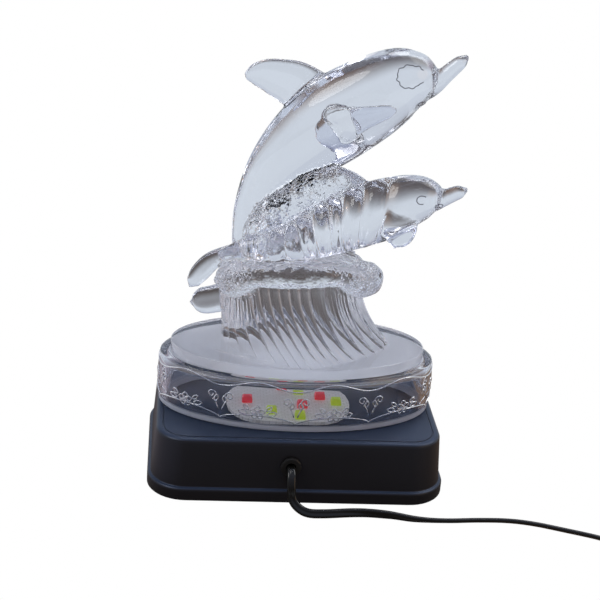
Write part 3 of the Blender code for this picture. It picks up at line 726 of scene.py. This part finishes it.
def figure():
    """The dolphins and the foam as one skin, with soft fillets where they meet."""
    on_crest = ((-27, -18, 20, 40), (0.9, 0.3, 0.12, 0.12))
    everywhere = ((-30, 30), (0.8, 0.8))
    parts = [
        limb("front_crest", FRONT_CREST, 64, 0.7, 0.4 * LUMP_DEPTH, on_crest),
        limb("back_crest", BACK_CREST, 64, 0.7, LUMP_DEPTH, on_crest),
        limb("foam_band", FOAM_BAND, 72, 0.7, 0.7 * LUMP_DEPTH, everywhere),
        limb("lower_body", LOWER_BODY, 80, 0.9),
        limb("lower_beak", LOWER_BEAK, 96, 0.8, mouth=0.12),
        limb("lower_dorsal", LOWER_DORSAL, 48),
        limb("lower_flipper", LOWER_FLIPPER, 56, dished=0.5),
        limb("lower_far_flipper", far_side(LOWER_FLIPPER, LOWER_BODY[5][1]), 48),
        limb("upper_fluke", UPPER_FLUKE, 56, dished=0.3),
        limb("lower_fluke", LOWER_FLUKE, 56, dished=0.3),
        limb("upper_body", UPPER_BODY, 96),
        limb("upper_beak", UPPER_BEAK, 96, 0.8, mouth=0.12),
        limb("upper_dorsal", UPPER_DORSAL, 56),
        limb("upper_flipper", UPPER_FLIPPER, 56, dished=0.55),
        limb("upper_far_flipper", UPPER_FAR_FLIPPER, 48),
    ]
    whole = joined_up("figure", parts)
    remesh = whole.modifiers.new("one skin", "REMESH")
    remesh.mode = "VOXEL"
    remesh.voxel_size = VOXEL
    applied(whole)
    soften_creases(whole.data)
    press_folds(whole.data)
    return whole


def joined_up(name, parts):
    """One object from several; the separate ones are removed."""
    bm = bmesh.new()
    for part in parts:
        bm.from_mesh(part.data)
        bpy.data.objects.remove(part)
    mesh = bpy.data.meshes.new(name)
    bm.to_mesh(mesh)
    bm.free()
    mesh.shade_smooth()
    return in_scene(name, mesh)


def applied(target):
    """Makes the evaluated mesh the object's own, and takes its modifiers off."""
    bpy.context.view_layer.update()
    mesh = bpy.data.meshes.new_from_object(target.evaluated_get(bpy.context.evaluated_depsgraph_get()))
    target.modifiers.clear()
    target.data = mesh
    mesh.shade_smooth()


def united(target, operation, piece):
    """Joins a piece to the target, or cuts it out, and removes the piece."""
    step = target.modifiers.new(operation.lower(), "BOOLEAN")
    step.operation = operation
    step.object = piece
    applied(target)
    bpy.data.objects.remove(piece)


def at_vertices(mesh, what="co"):
    """What the mesh has at its vertices, in rows of three numbers."""
    values = np.empty(len(mesh.vertices) * 3)
    mesh.vertices.foreach_get(what, values)
    return values.reshape(-1, 3)


def reshape(mesh, points):
    mesh.vertices.foreach_set("co", points.ravel())
    mesh.update()


def soften_creases(mesh):
    """Fills the hollow creases where limbs meet, and evens the skin lightly, without rounding ridges."""
    points = at_vertices(mesh)
    count = len(points)
    edges = np.empty(len(mesh.edges) * 2, int)
    mesh.edges.foreach_get("vertices", edges)
    first, second = edges.reshape(-1, 2).T
    degree = np.bincount(np.concatenate([first, second]), minlength=count)[:, None]

    def pull():
        total = np.zeros_like(points)
        for k in range(3):
            total[:, k] = np.bincount(first, points[second, k], count)
            total[:, k] += np.bincount(second, points[first, k], count)
        return total / degree - points

    for k in range(CREASE_PASSES):
        if k % 6 == 0:
            reshape(mesh, points)
            normals = at_vertices(mesh, "normal")
        towards = pull()
        hollow = (towards * normals).sum(axis=1) / VOXEL
        weight = np.clip((hollow - 0.07) / 0.12, 0, 1)[:, None] * 0.6
        if k < EVENING_PASSES:
            weight = np.maximum(weight, 0.3)
        points = points + towards * weight
    reshape(mesh, points)


def press_folds(mesh):
    """Presses the lower dolphin's folds into the skin, which bend what is seen through its body."""
    points, normals = at_vertices(mesh), at_vertices(mesh, "normal")
    drawn = moved(points, FIGURE_FRAME.inverted())
    line = even_line(LOWER_BODY, 1.0)
    ahead = unit(np.gradient(line[:, :3], axis=0))
    run = run_along(line)
    beside = np.linalg.norm(drawn[:, None] - line[None, :, :3], axis=2) / line[:, 3]
    near = beside.argmin(axis=1)
    offset = drawn - line[near, :3]
    place = run[near] + (offset * ahead[near]).sum(axis=1)
    height = (offset[:, 2] * ahead[near, 0] - offset[:, 0] * ahead[near, 2]) / line[near, 3]
    depth = np.zeros(len(points))
    for middle, half_width, deep, slant in LOWER_FOLDS:
        depth += deep * np.exp(-(((place - middle - slant * height) / half_width) ** 2))
    on_flank = np.clip((FLANK_REACH - beside.min(axis=1)) / 0.1, 0, 1)
    facing_sideways = np.clip(1.9 * np.abs(normals[:, 1]) - 0.35, 0, 1)
    depth *= on_flank * facing_sideways * UNIT
    reshape(mesh, points - normals * depth[:, None])


def casting():
    """The figure, the wave and the drum, united, with the froth's share kept at each vertex."""
    statue = drum()
    for piece in (wave(), figure()):
        united(statue, "UNION", piece)
    statue.data.set_sharp_from_angle(angle=math.radians(62))
    mark_froth(statue.data)
    return statue


def frost(mesh):
    """Frosts the hollow's ceiling, which veils the lamp's inside from above, and the bonded foot."""
    mesh.materials.append(frosted_acrylic())
    mesh.materials.append(bonded_acrylic())
    ceiling = PLATE_Z - CEILING_THICKNESS
    foot = DRUM_FOOT_Z + 2 * DRUM_FOOT_RADIUS
    for face in mesh.polygons:
        if abs(face.center.z - ceiling) < 0.3 * MM and face.normal.z < -0.5:
            face.material_index = 1
        elif face.center.z < foot:
            face.material_index = 2


def round_wire(beside, angle):
    """The way from a wire's middle to its skin, for a wire that lies across the Y axis."""
    return beside * math.cos(angle) + np.array((0, 1, 0)) * math.sin(angle)


def head_marks(statue):
    """Thin raised lines on the heads, half sunk in the skin on the side that faces the front."""
    wires = []
    for x, z, wide, high, wobble, start, turn in HEAD_MARKS:
        points = []
        for angle in np.radians(np.arange(start, start + turn + 1, 5)):
            waves = math.sin(3 * angle + 1) + math.sin(8 * angle) + 0.8 * math.cos(13 * angle)
            reach = 1 + wobble * waves / 2
            spot = Vector((x + wide * reach * math.cos(angle), -60, z + high * reach * math.sin(angle)))
            towards = FIGURE_FRAME.to_3x3() @ Vector((0, 1, 0))
            hit, place, _, _ = statue.ray_cast(FIGURE_FRAME @ spot, towards.normalized())
            if hit:
                points.append(place)
        points = np.array(points)
        ahead = unit(np.gradient(points, axis=0))
        beside = unit(np.cross(ahead, (0, 1, 0)))
        rings = [points + MARK_WIRE * round_wire(beside, angle) for angle in EIGHTHS]
        wires.append(skin("mark", np.stack(rings, axis=1)))
    return joined_up("head_marks", wires)


def mark_froth(mesh):
    """Keeps at each vertex how much fine froth there is: most on the left knob and on the foam band."""
    points = moved(at_vertices(mesh), FIGURE_FRAME.inverted())
    froth = np.zeros(len(points))
    shares_of = ((FRONT_CREST, (1, 0.5, 0.35, 0.6)), (BACK_CREST, (0.6,) * 4), (FOAM_BAND, (1,) * 4))
    for table, shares in shares_of:
        for x, y, z, up, across in even_line(table, 3.0):
            reach = np.linalg.norm(points - (x, y, z), axis=1) / max(up, across)
            here = np.interp(x, (-30, -22, 20, 40), shares) * np.clip((1.3 - reach) / 0.15, 0, 1)
            froth = np.maximum(froth, here)
    layer = mesh.attributes.new("froth", "FLOAT", "POINT")
    layer.data.foreach_set("value", froth)


def rounded_rectangle(half_x, half_y, radius, z, corner_steps=12):
    """The points of a rectangle with round corners, all at one height."""
    points = []
    for corner, (sx, sy) in enumerate(((1, 1), (-1, 1), (-1, -1), (1, -1))):
        for k in range(corner_steps + 1):
            angle = math.radians(90 * (corner + k / corner_steps))
            x = sx * (half_x - radius) + radius * math.cos(angle)
            points.append((x, sy * (half_y - radius) + radius * math.sin(angle), z))
    return points


def housing_line(grow, z):
    """The housing's outline at a height, grown outwards from its top's."""
    return rounded_rectangle(BASE_LENGTH / 2 + grow, BASE_DEPTH / 2 + grow, BASE_CORNER_RADIUS + grow, z)


def rod(name, radius, length, sides):
    """A round bar from the origin upwards."""
    angles = np.arange(sides) * math.tau / sides
    x, y = radius * np.cos(angles), radius * np.sin(angles)
    return skin(name, [np.stack([x, y, np.full(sides, z)], axis=1) for z in (0, length)])


def lamp_base():
    """The housing, open underneath, with its flange, a groove along its top edge and the cord's hole."""
    reach = BASE_DRAFT + FLANGE_REACH
    edge = BASE_HEIGHT - BASE_EDGE_RADIUS
    ledge = FLANGE_HEIGHT - FLANGE_RADIUS
    rings = [housing_line(-BASE_WALL, BASE_HEIGHT - BASE_WALL), housing_line(-BASE_WALL, 0)]
    for s, c in quarter(3):
        rings.append(housing_line(reach - FOOT_RADIUS * (1 - s), FOOT_RADIUS * (1 - c)))
    for s, c in quarter(6):
        rings.append(housing_line(reach - FLANGE_RADIUS * (1 - c), ledge + FLANGE_RADIUS * s))
    for s, c in quarter(3):
        foot = FLANGE_FILLET * (1 - s)
        rings.append(housing_line(BASE_DRAFT + foot, FLANGE_HEIGHT + FLANGE_FILLET * (1 - c)))
    rings += [housing_line(-BASE_EDGE_RADIUS * (1 - c), edge + BASE_EDGE_RADIUS * s) for s, c in quarter(6)]
    for inset, sunk in TOP_GROOVE:
        rings.append(housing_line(-BASE_EDGE_RADIUS - TOP_GROOVE_INSET - inset, BASE_HEIGHT - sunk))
    base = skin("lamp_housing", rings)
    bore = rod("bore", BUSHING_RADIUS, 14 * MM, 48)
    inside = Matrix.Translation((CORD_X, -BASE_DEPTH / 2 + 4.2 * MM, CORD_HEIGHT))
    bore.matrix_world = inside @ Matrix.Rotation(math.pi / 2, 4, "X")
    united(base, "DIFFERENCE", bore)
    base.data.set_sharp_from_angle(angle=math.radians(50))
    return base


# Cord


def flex_route():
    """Points of the flex's middle line, of which those after the table go round the coil and to the plug."""
    edge = BASE_HEIGHT - BASE_EDGE_RADIUS
    start = -BASE_DEPTH / 2 - BASE_DRAFT * (edge - CORD_HEIGHT) / (edge - FLANGE_HEIGHT)
    floor = CORD_WIDTH / 2 + 0.1 * MM
    coil_x, coil_y = COIL_CENTRE
    drop = []
    for forward, fall, right in CORD_DROP:
        x, y = CORD_X + right * CORD_WIDTH, start - forward * CORD_WIDTH
        drop.append((x, y, CORD_HEIGHT - fall * (CORD_HEIGHT - floor)))
    table = []
    for x, y in CORD_ON_TABLE:
        upright = 1 - np.clip((x - 20) / 50, 0, 1)
        tall = CORD_THICKNESS + (CORD_WIDTH - CORD_THICKNESS) * upright
        table.append((x * MM, y * MM, tall / 2 + 0.1 * MM))
    inner = COIL_MEAN_RADIUS - COIL_HALF_WIDTH + CORD_WIDTH / 2
    outer = COIL_MEAN_RADIUS + COIL_HALF_WIDTH - CORD_WIDTH / 2
    low = COIL_FLOOR + CORD_WIDTH / 2
    coil = []
    windings = ((4, outer, inner, 0), (0.5, inner, inner, 1), (3.744, inner, outer, 0))
    for turns, from_radius, to_radius, rise in windings:
        steps = int(turns * 24)
        first = coil[-1] if coil else (math.radians(232), outer, low)
        for k in range(0 if not coil else 1, steps + 1):
            t = k / steps
            radius = from_radius + (to_radius - from_radius) * t
            coil.append((first[0] + math.tau * turns * t, radius, first[2] + rise * CORD_WIDTH * t))
    coil = [(coil_x + r * math.cos(a), coil_y + r * math.sin(a), z) for a, r, z in coil]
    plug_x, plug_y = PLUG_PLACE
    high = PLUG_THICKNESS / 2
    tail = [
        (coil_x + 35.0 * MM, coil_y - 11.5 * MM, 0.8 * high),
        (coil_x + 39.8 * MM, coil_y + 2 * MM, floor),
        (plug_x + 3.0 * CORD_WIDTH, (coil_y + plug_y) / 2, floor),
        (plug_x + 2.5 * CORD_WIDTH, plug_y - 3.5 * CORD_WIDTH, 0.55 * high),
        (plug_x + 1.9 * CORD_WIDTH, plug_y - 1.3 * CORD_WIDTH, 0.85 * high),
        (plug_x + 0.9 * CORD_WIDTH, plug_y - 0.2 * CORD_WIDTH, high),
        (plug_x + 0.4 * MM, plug_y, high),
    ]
    return drop + table + coil + tail, len(drop) + len(table), len(coil)


def smooth_step(value):
    value = np.clip(value, 0, 1)
    return value * value * (3 - 2 * value)


def flat_flex():
    """The flat twin flex: two round strands side by side, turning from upright to flat along the table."""
    route, on_table, in_coil = flex_route()
    line = even_line(route, FLEX_PITCH)
    ahead = unit(np.gradient(line, axis=0))
    wide = np.empty_like(line)
    wide[0] = (1, 0, 0)
    for k in range(1, len(line)):
        wide[k] = wide[k - 1] - ahead[k] * (wide[k - 1] @ ahead[k])
        wide[k] /= np.linalg.norm(wide[k])
    run = run_along(line)
    coil_start = run[np.argmin(np.linalg.norm(line - route[on_table], axis=1))]
    turn = math.pi / 2 * smooth_step((run - FLATTENS_AT) / FLATTENS_OVER)
    turn += COIL_TWIST * smooth_step((run - coil_start + 20 * MM) / (20 * MM))
    thick = np.cross(ahead, wide)
    c, s = np.cos(turn)[:, None], np.sin(turn)[:, None]
    wide, thick = wide * c + thick * s, thick * c - wide * s
    strand = CORD_THICKNESS / 2 - 0.05 * MM
    offset = CORD_WIDTH / 2 - strand
    line[:, 2] = np.maximum(line[:, 2], np.abs(wide[:, 2]) * offset + strand + 0.05 * MM)
    bend = np.radians(np.linspace(-128, 128, 9))
    profile = [(offset + strand * math.cos(a), strand * math.sin(a)) for a in bend]
    profile += [(-offset - strand * math.cos(a), -strand * math.sin(a)) for a in bend]
    rings = [line + wide * a + thick * b for a, b in profile]
    flex = skin("flat_flex", np.stack(rings, axis=1))
    visible = [k for k in range(len(line)) if run[k] < coil_start]
    steps = list(range(0, len(visible), 8)) + list(range(len(visible), len(line), 7))
    if steps[-1] != len(line) - 1:
        steps.append(len(line) - 1)
    return flex, line[steps].tolist(), float(run[-1])


def plug():
    """A moulded plug: ribs on its narrow neck, soft shoulders and a rounded face."""
    x, y = PLUG_PLACE
    rings = []
    ribs = [(0.0, 0.40), (0.02, 0.43), (0.05, 0.43), (0.06, 0.38), (0.09, 0.38), (0.10, 0.45)]
    ribs += [(0.14, 0.45), (0.15, 0.40), (0.18, 0.40), (0.19, 0.48), (0.24, 0.49)]
    shoulders = [(0.3, 0.58), (0.36, 0.72), (0.42, 0.84), (0.48, 0.93), (0.55, 0.985), (0.62, 1.0)]
    face = [(0.96, 1.0), (0.985, 0.985), (1.0, 0.95)]
    for share, narrow in ribs + shoulders + face:
        half_width = PLUG_WIDTH / 2 * narrow
        half_thickness = PLUG_THICKNESS / 2 * (0.55 + 0.45 * narrow)
        line = rounded_rectangle(half_width, half_thickness, 0.9 * half_thickness, 0, 8)
        here = x - share * PLUG_LENGTH
        rings.append([(here, y + across, PLUG_THICKNESS / 2 + up) for across, up, _ in line])
    return skin("plug_moulding", rings)


def plug_pin(side):
    """A plug pin with a rounded tip."""
    x, y = PLUG_PLACE
    start = x - PLUG_LENGTH - GAP
    angles = np.arange(32) * math.tau / 32
    rings = []
    stations = [(0, 1), (PIN_LENGTH - PIN_RADIUS, 1)]
    stations += [(PIN_LENGTH - PIN_RADIUS * (1 - s), max(c, 0.08)) for s, c in quarter(5)[1:]]
    for reach, share in stations:
        radius = PIN_RADIUS * share
        here = (np.full(32, start - reach), y - side * PIN_SPACING / 2 + radius * np.cos(angles))
        rings.append(np.stack([*here, PLUG_THICKNESS / 2 + radius * np.sin(angles)], axis=1))
    return skin("pin", rings)


def wire(points, closed=False):
    """A thin half-sunk wire along points of the flat relief drawing: x along the wall and z up it."""
    points = np.array([(u, 0, v) for u, v in points], float) * MM
    if closed:
        ahead = unit(np.roll(points, -1, 0) - np.roll(points, 1, 0))
    else:
        ahead = unit(np.gradient(points, axis=0))
    beside = np.stack([-ahead[:, 2], np.zeros(len(points)), ahead[:, 0]], axis=1)
    rings = []
    for angle in EIGHTHS:
        rings.append(points + RELIEF_WIRE * round_wire(beside, angle))
    return skin("wire", np.stack(rings, axis=1), joined=closed)


def leaf(x, z, length, width, lean):
    """A pointed leaf's outline."""
    t = np.linspace(0, 1, 15)
    half = width / 2 * np.sin(math.pi * t) ** 0.8
    along = np.concatenate([t, t[-2:0:-1]]) * length
    across = np.concatenate([half, -half[-2:0:-1]])
    c, s = math.cos(math.radians(lean)), math.sin(math.radians(lean))
    return [(x + a * c - b * s, z + a * s + b * c) for a, b in zip(along, across)]


def scroll(side):
    """A leaf scroll beside a cusp of the lower line: a tight curl above and a tail below."""
    points = []
    for k in range(26):
        angle = math.radians(-70 + 18 * k)
        radius = 2.5 - 0.075 * k
        points.append((side * (4.4 - radius * math.cos(angle)), 47.6 + radius * math.sin(angle)))
    tail = [(side * x, z) for x, z in ((0.9, 39.8), (1.3, 41.4), (2.0, 43.2), (2.9, 44.6))]
    return tail + points


def relief_motif(pitch):
    """One repeat of the relief, drawn flat in millimetres: heights are those on the drum."""
    u = np.linspace(-pitch / 2, pitch / 2, 61)
    scallop = SCALLOP_HEIGHT + SCALLOP_RISE * np.abs(np.sin(math.pi * u / pitch)) ** 0.55
    wavy = WAVY_HEIGHT - WAVY_RISE * np.cos(math.tau * u / pitch)
    flower_x = pitch / 2
    wires = [wire(line) for line in (list(zip(u, scallop)), list(zip(u, wavy)), scroll(1), scroll(-1))]
    for k in range(PETALS):
        angle = 90 + 360 * k / PETALS
        c, s = math.cos(math.radians(angle)), math.sin(math.radians(angle))
        petal = leaf(flower_x + 0.9 * c, FLOWER_HEIGHT + 0.9 * s, 2.7, 2.5, angle)
        wires.append(wire(petal, True))
    tenths = np.arange(10) * math.tau / 10
    eye = [(flower_x + 0.6 * math.cos(a), FLOWER_HEIGHT + 0.6 * math.sin(a)) for a in tenths]
    wires.append(wire(eye, True))
    for x, z, length, width, lean in (
        (flower_x + 4.6, FLOWER_HEIGHT - 0.6, 4.6, 2.2, 12),
        (flower_x - 4.6, FLOWER_HEIGHT - 0.6, 4.6, 2.2, 168),
        (flower_x + 4.2, FLOWER_HEIGHT + 1.4, 3.4, 1.7, 42),
        (flower_x - 4.2, FLOWER_HEIGHT + 1.4, 3.4, 1.7, 138),
        (2.4, 44.0, 3.6, 1.8, 100),
        (-2.4, 44.0, 3.6, 1.8, 80),
    ):
        wires.append(wire(leaf(x, z, length, width, lean), True))
    return joined_up("relief_motif", wires)


def drum_relief(clear):
    """The relief: Geometry Nodes repeats the motif along the wall and bends it round the oval."""
    side_foot = DRUM_FOOT_Z + DRUM_FOOT_RADIUS
    side_top = PLATE_Z - PLATE_STEP - SHOULDER_HEIGHT
    outline = oval(0, 0, 0, 480)
    length = float(np.linalg.norm(np.roll(outline, -1, 0) - outline, axis=1).sum())
    pitch = length / RELIEF_REPEATS
    motif = relief_motif(pitch / MM)
    curve = bpy.data.curves.new("oval", "CURVE")
    curve.dimensions = "3D"
    spline = curve.splines.new("POLY")
    spline.points.add(len(outline) - 1)
    for point, place in zip(spline.points, outline):
        point.co = (*place, 1)
    spline.use_cyclic_u = True
    path = in_scene("oval", curve)

    tree = bpy.data.node_groups.new("relief round the drum", "GeometryNodeTree")
    tree.interface.new_socket(name="Geometry", in_out="OUTPUT", socket_type="NodeSocketGeometry")
    tree.interface.new_socket(name="Geometry", in_out="INPUT", socket_type="NodeSocketGeometry")
    settings = {
        "Path": ("NodeSocketObject", path),
        "Repeats": ("NodeSocketInt", RELIEF_REPEATS),
        "Pitch": ("NodeSocketFloat", pitch),
        "Start": ("NodeSocketFloat", 0.75 * length + RELIEF_TURN),
        "Length": ("NodeSocketFloat", length),
        "Finish": ("NodeSocketMaterial", clear),
    }
    values = {}
    for name, (kind, value) in settings.items():
        socket = tree.interface.new_socket(name=name, in_out="INPUT", socket_type=kind)
        values[socket.identifier] = value
    given = tree.nodes.new("NodeGroupInput").outputs
    step = add_node(tree, "ShaderNodeCombineXYZ", X=given["Pitch"])
    row = add_node(tree, "GeometryNodeMeshLine", Count=given["Repeats"], Offset=step.outputs[0])
    copies = add_node(
        tree, "GeometryNodeInstanceOnPoints", Points=row.outputs[0], Instance=given["Geometry"]
    )
    real = add_node(tree, "GeometryNodeRealizeInstances", Geometry=copies.outputs[0])
    drawn = add_node(tree, "GeometryNodeInputPosition")
    place = add_node(tree, "ShaderNodeSeparateXYZ", Vector=drawn.outputs[0])
    along = maths(tree, "ADD", place.outputs["X"], given["Start"])[0]
    oval_curve = add_node(tree, "GeometryNodeObjectInfo", Object=given["Path"])
    sample = add_node(
        tree,
        "GeometryNodeSampleCurve",
        {"mode": "LENGTH", "use_all_curves": True},
        Curves=oval_curve.outputs["Geometry"],
        Length=maths(tree, "FLOORED_MODULO", along, given["Length"])[0],
    )
    outward = maths(tree, "CROSS_PRODUCT", sample.outputs["Tangent"], (0, 0, 1), vector=True)[0]
    rise = add_node(
        tree,
        "ShaderNodeMapRange",
        Value=place.outputs["Z"],
        From_Min=side_foot,
        From_Max=side_top,
        To_Max=math.pi,
    )
    bulge = maths(tree, "SINE", rise.outputs[0])[0]
    reach = maths(tree, "MULTIPLY_ADD", bulge, DRUM_BULGE, place.outputs["Y"])[0]
    out = add_node(tree, "ShaderNodeVectorMath", {"operation": "SCALE"}, _0=outward, Scale=reach)
    on_wall = maths(tree, "ADD", sample.outputs["Position"], out.outputs[0], vector=True)[0]
    height = add_node(tree, "ShaderNodeCombineXYZ", Z=place.outputs["Z"])
    final = maths(tree, "ADD", on_wall, height.outputs[0], vector=True)[0]
    bent = add_node(tree, "GeometryNodeSetPosition", Geometry=real.outputs[0], Position=final)
    painted = add_node(tree, "GeometryNodeSetMaterial", Geometry=bent.outputs[0], Material=given["Finish"])
    tree.links.new(painted.outputs[0], tree.nodes.new("NodeGroupOutput").inputs[0])

    modifier = motif.modifiers.new("round the drum", "NODES")
    modifier.node_group = tree
    for key, value in values.items():
        modifier[key] = value
    applied(motif)
    bpy.data.objects.remove(path)
    motif.name = "drum_relief"
    return motif


def finished(target, finish):
    target.data.materials.clear()
    target.data.materials.append(finish)


def placed(target, finish, nodes):
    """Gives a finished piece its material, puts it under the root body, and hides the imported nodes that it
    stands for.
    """
    if finish:
        finished(target, finish)
    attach(target, "root")
    if nodes:
        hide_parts(*nodes)
    return target


def main():
    scene = bpy.context.scene
    camera_data = bpy.data.cameras.new("camera")
    camera_data.lens = CAMERA_LENS
    camera_data.clip_start = 0.01
    camera = in_scene("camera", camera_data)
    camera.location = CAMERA_PLACE
    turn = (CAMERA_LOOK - CAMERA_PLACE).to_track_quat("-Z", "Y") @ Quaternion((0, 0, 1), CAMERA_ROLL)
    camera.rotation_mode = "QUATERNION"
    camera.rotation_quaternion = turn
    scene.camera = camera
    scene.view_settings.view_transform = "Standard"
    scene.cycles.use_denoising = True
    scene.cycles.max_bounces = 24
    scene.cycles.transmission_bounces = 20
    scene.cycles.glossy_bounces = 8
    scene.cycles.caustics_refractive = True

    flex_finish = pvc_flex()
    flex, flex_path, flex_length = flat_flex()
    placed(flex, flex_finish, ("power_cord", "cord_coil", "cord_tail"))
    body = placed(plug(), flex_finish, ("plug_body",))
    pin_finish = nickel_plate()
    sides = {1: "plug_pin_left", -1: "plug_pin_right"}
    pins = [placed(plug_pin(side), pin_finish, (node,)) for side, node in sides.items()]

    clear = clear_acrylic()
    black = black_abs()
    statue = placed(casting(), clear, ("dolphin_statue",))
    frost(statue.data)
    placed(head_marks(statue), raised_line(), ())
    placed(drum_relief(clear), None, ())
    placed(lamp_base(), black, ("light_base",))
    rubber = soft_rubber()
    finishes = {"base_cover": black, "led_board": white_board(), "cord_grommet": rubber, "cord_tie": rubber}
    for name, finish in finishes.items():
        finished(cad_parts[name], finish)
    lenses = {
        "led_red": (led_lens("Red LED lens", "#F0404E"), "red_lens"),
        "led_yellow": (led_lens("Yellow-green LED lens", "#C6E03A"), "yellow_lens"),
    }
    for name in list(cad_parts):
        if name[:-2] in lenses:
            finish, slot = lenses[name[:-2]]
            placed(led_chip(name), finish, (name,))
    stage_and_lights(scene)


# Bright windows and lamps of the room: direction, cosines where each fades out and is full, colour, strength
WINDOWS = (
    ((-0.72, -0.25, 0.64), 0.90, 0.985, "#FFFFFF", 1.1),
    ((0.60, 0.10, 0.79), 0.90, 0.975, "#FFFFFF", 3.0),
    ((0.75, -0.55, 0.36), 0.94, 0.985, "#B89878", 3.0),
)
# Lamps: name, place in metres, width and power
LAMPS = (("key", (-0.95, -0.5, 1.2), 0.8, 6.0), ("top", (0.1, 0.5, 1.3), 0.6, 4.0))


def soft_range(tree, value, low, high):
    """How far a value has come from low to high, with soft ends."""
    smooth = {"interpolation_type": "SMOOTHSTEP"}
    made = add_node(tree, "ShaderNodeMapRange", smooth, Value=value, From_Min=low, From_Max=high)
    return made.outputs["Result"]


def mixed(tree, share, first, second):
    return add_node(tree, "ShaderNodeMixRGB", _0=share, _1=first, _2=second).outputs["Color"]


def glowing_floor_with_painted_shade():
    """A glowing floor: white to the camera; through the acrylic dimmed near the lamp by painted shade, mauve
    to its left, brown to its right.
    """
    paint = bpy.data.materials.new("Glowing floor with painted shade")
    paint.use_nodes = True
    tree = paint.node_tree
    tree.nodes.remove(tree.nodes["Principled BSDF"])
    place = add_node(tree, "ShaderNodeNewGeometry").outputs["Position"]
    across = add_node(tree, "ShaderNodeSeparateXYZ", Vector=place).outputs["X"]
    left = add_node(tree, "ShaderNodeMapRange", Value=across, From_Min=-0.07, From_Max=-0.11).outputs[0]
    right = add_node(tree, "ShaderNodeMapRange", Value=across, From_Min=0.07, From_Max=0.11).outputs[0]
    # The dark grey-brown near the lamp is painted shade: the floor glows, and no lamp shades it.
    near = mixed(tree, left, linear("#5E5856"), linear("#A79EA6"))
    near = mixed(tree, right, near, linear("#826D5E"))
    reach = maths(tree, "LENGTH", place, vector=True)["Value"]
    bent = mixed(tree, soft_range(tree, reach, 0.13, 0.37), near, linear("#DDE4E9"))
    path = add_node(tree, "ShaderNodeLightPath")
    seen = mixed(tree, path.outputs["Is Camera Ray"], bent, linear("#FFFFFF"))
    glow = add_node(tree, "ShaderNodeEmission", Color=seen)
    tree.links.new(glow.outputs[0], tree.nodes["Material Output"].inputs["Surface"])
    return paint


def stage_and_lights(scene):
    """A white floor, a lavender-grey room for what the acrylic bends and mirrors, and soft lamps."""
    mesh = bpy.data.meshes.new("floor")
    mesh.from_pydata([(-6, -6, 0), (6, -6, 0), (6, 6, 0), (-6, 6, 0)], [], [(0, 1, 2, 3)])
    mesh.materials.append(glowing_floor_with_painted_shade())
    in_scene("floor", mesh)

    world = bpy.data.worlds.new("room")
    scene.world = world
    world.use_nodes = True
    tree = world.node_tree
    direction = add_node(tree, "ShaderNodeTexCoord").outputs["Generated"]
    split = add_node(tree, "ShaderNodeSeparateXYZ", Vector=direction)
    walls = soft_range(tree, split.outputs["Y"], -0.75, 0.35)
    room = mixed(tree, walls, linear("#5C5654"), linear("#D5DCE3"))
    room = mixed(tree, soft_range(tree, split.outputs["Z"], 0.1, 0.8), room, linear("#A2A8BC"))
    for towards, wide, narrow, colour, strength in WINDOWS:
        aim = tuple(Vector(towards).normalized())
        facing = maths(tree, "DOT_PRODUCT", direction, aim, vector=True)["Value"]
        share = soft_range(tree, facing, wide, narrow)
        bright = tuple(strength * c for c in linear(colour)[:3]) + (1.0,)
        room = mixed(tree, share, room, bright)
    path = add_node(tree, "ShaderNodeLightPath")
    seen = mixed(tree, path.outputs["Is Camera Ray"], room, linear("#FFFFFF"))
    tree.links.new(seen, tree.nodes["Background"].inputs["Color"])
    for name, place, size, power in LAMPS:
        data = bpy.data.lights.new(name, "AREA")
        data.shape = "DISK"
        data.size = size
        data.energy = power
        lamp = in_scene(name, data)
        lamp.location = place
        lamp.rotation_euler = (Vector((0, 0, 0.1)) - Vector(place)).to_track_quat("-Z", "Y").to_euler()


main()
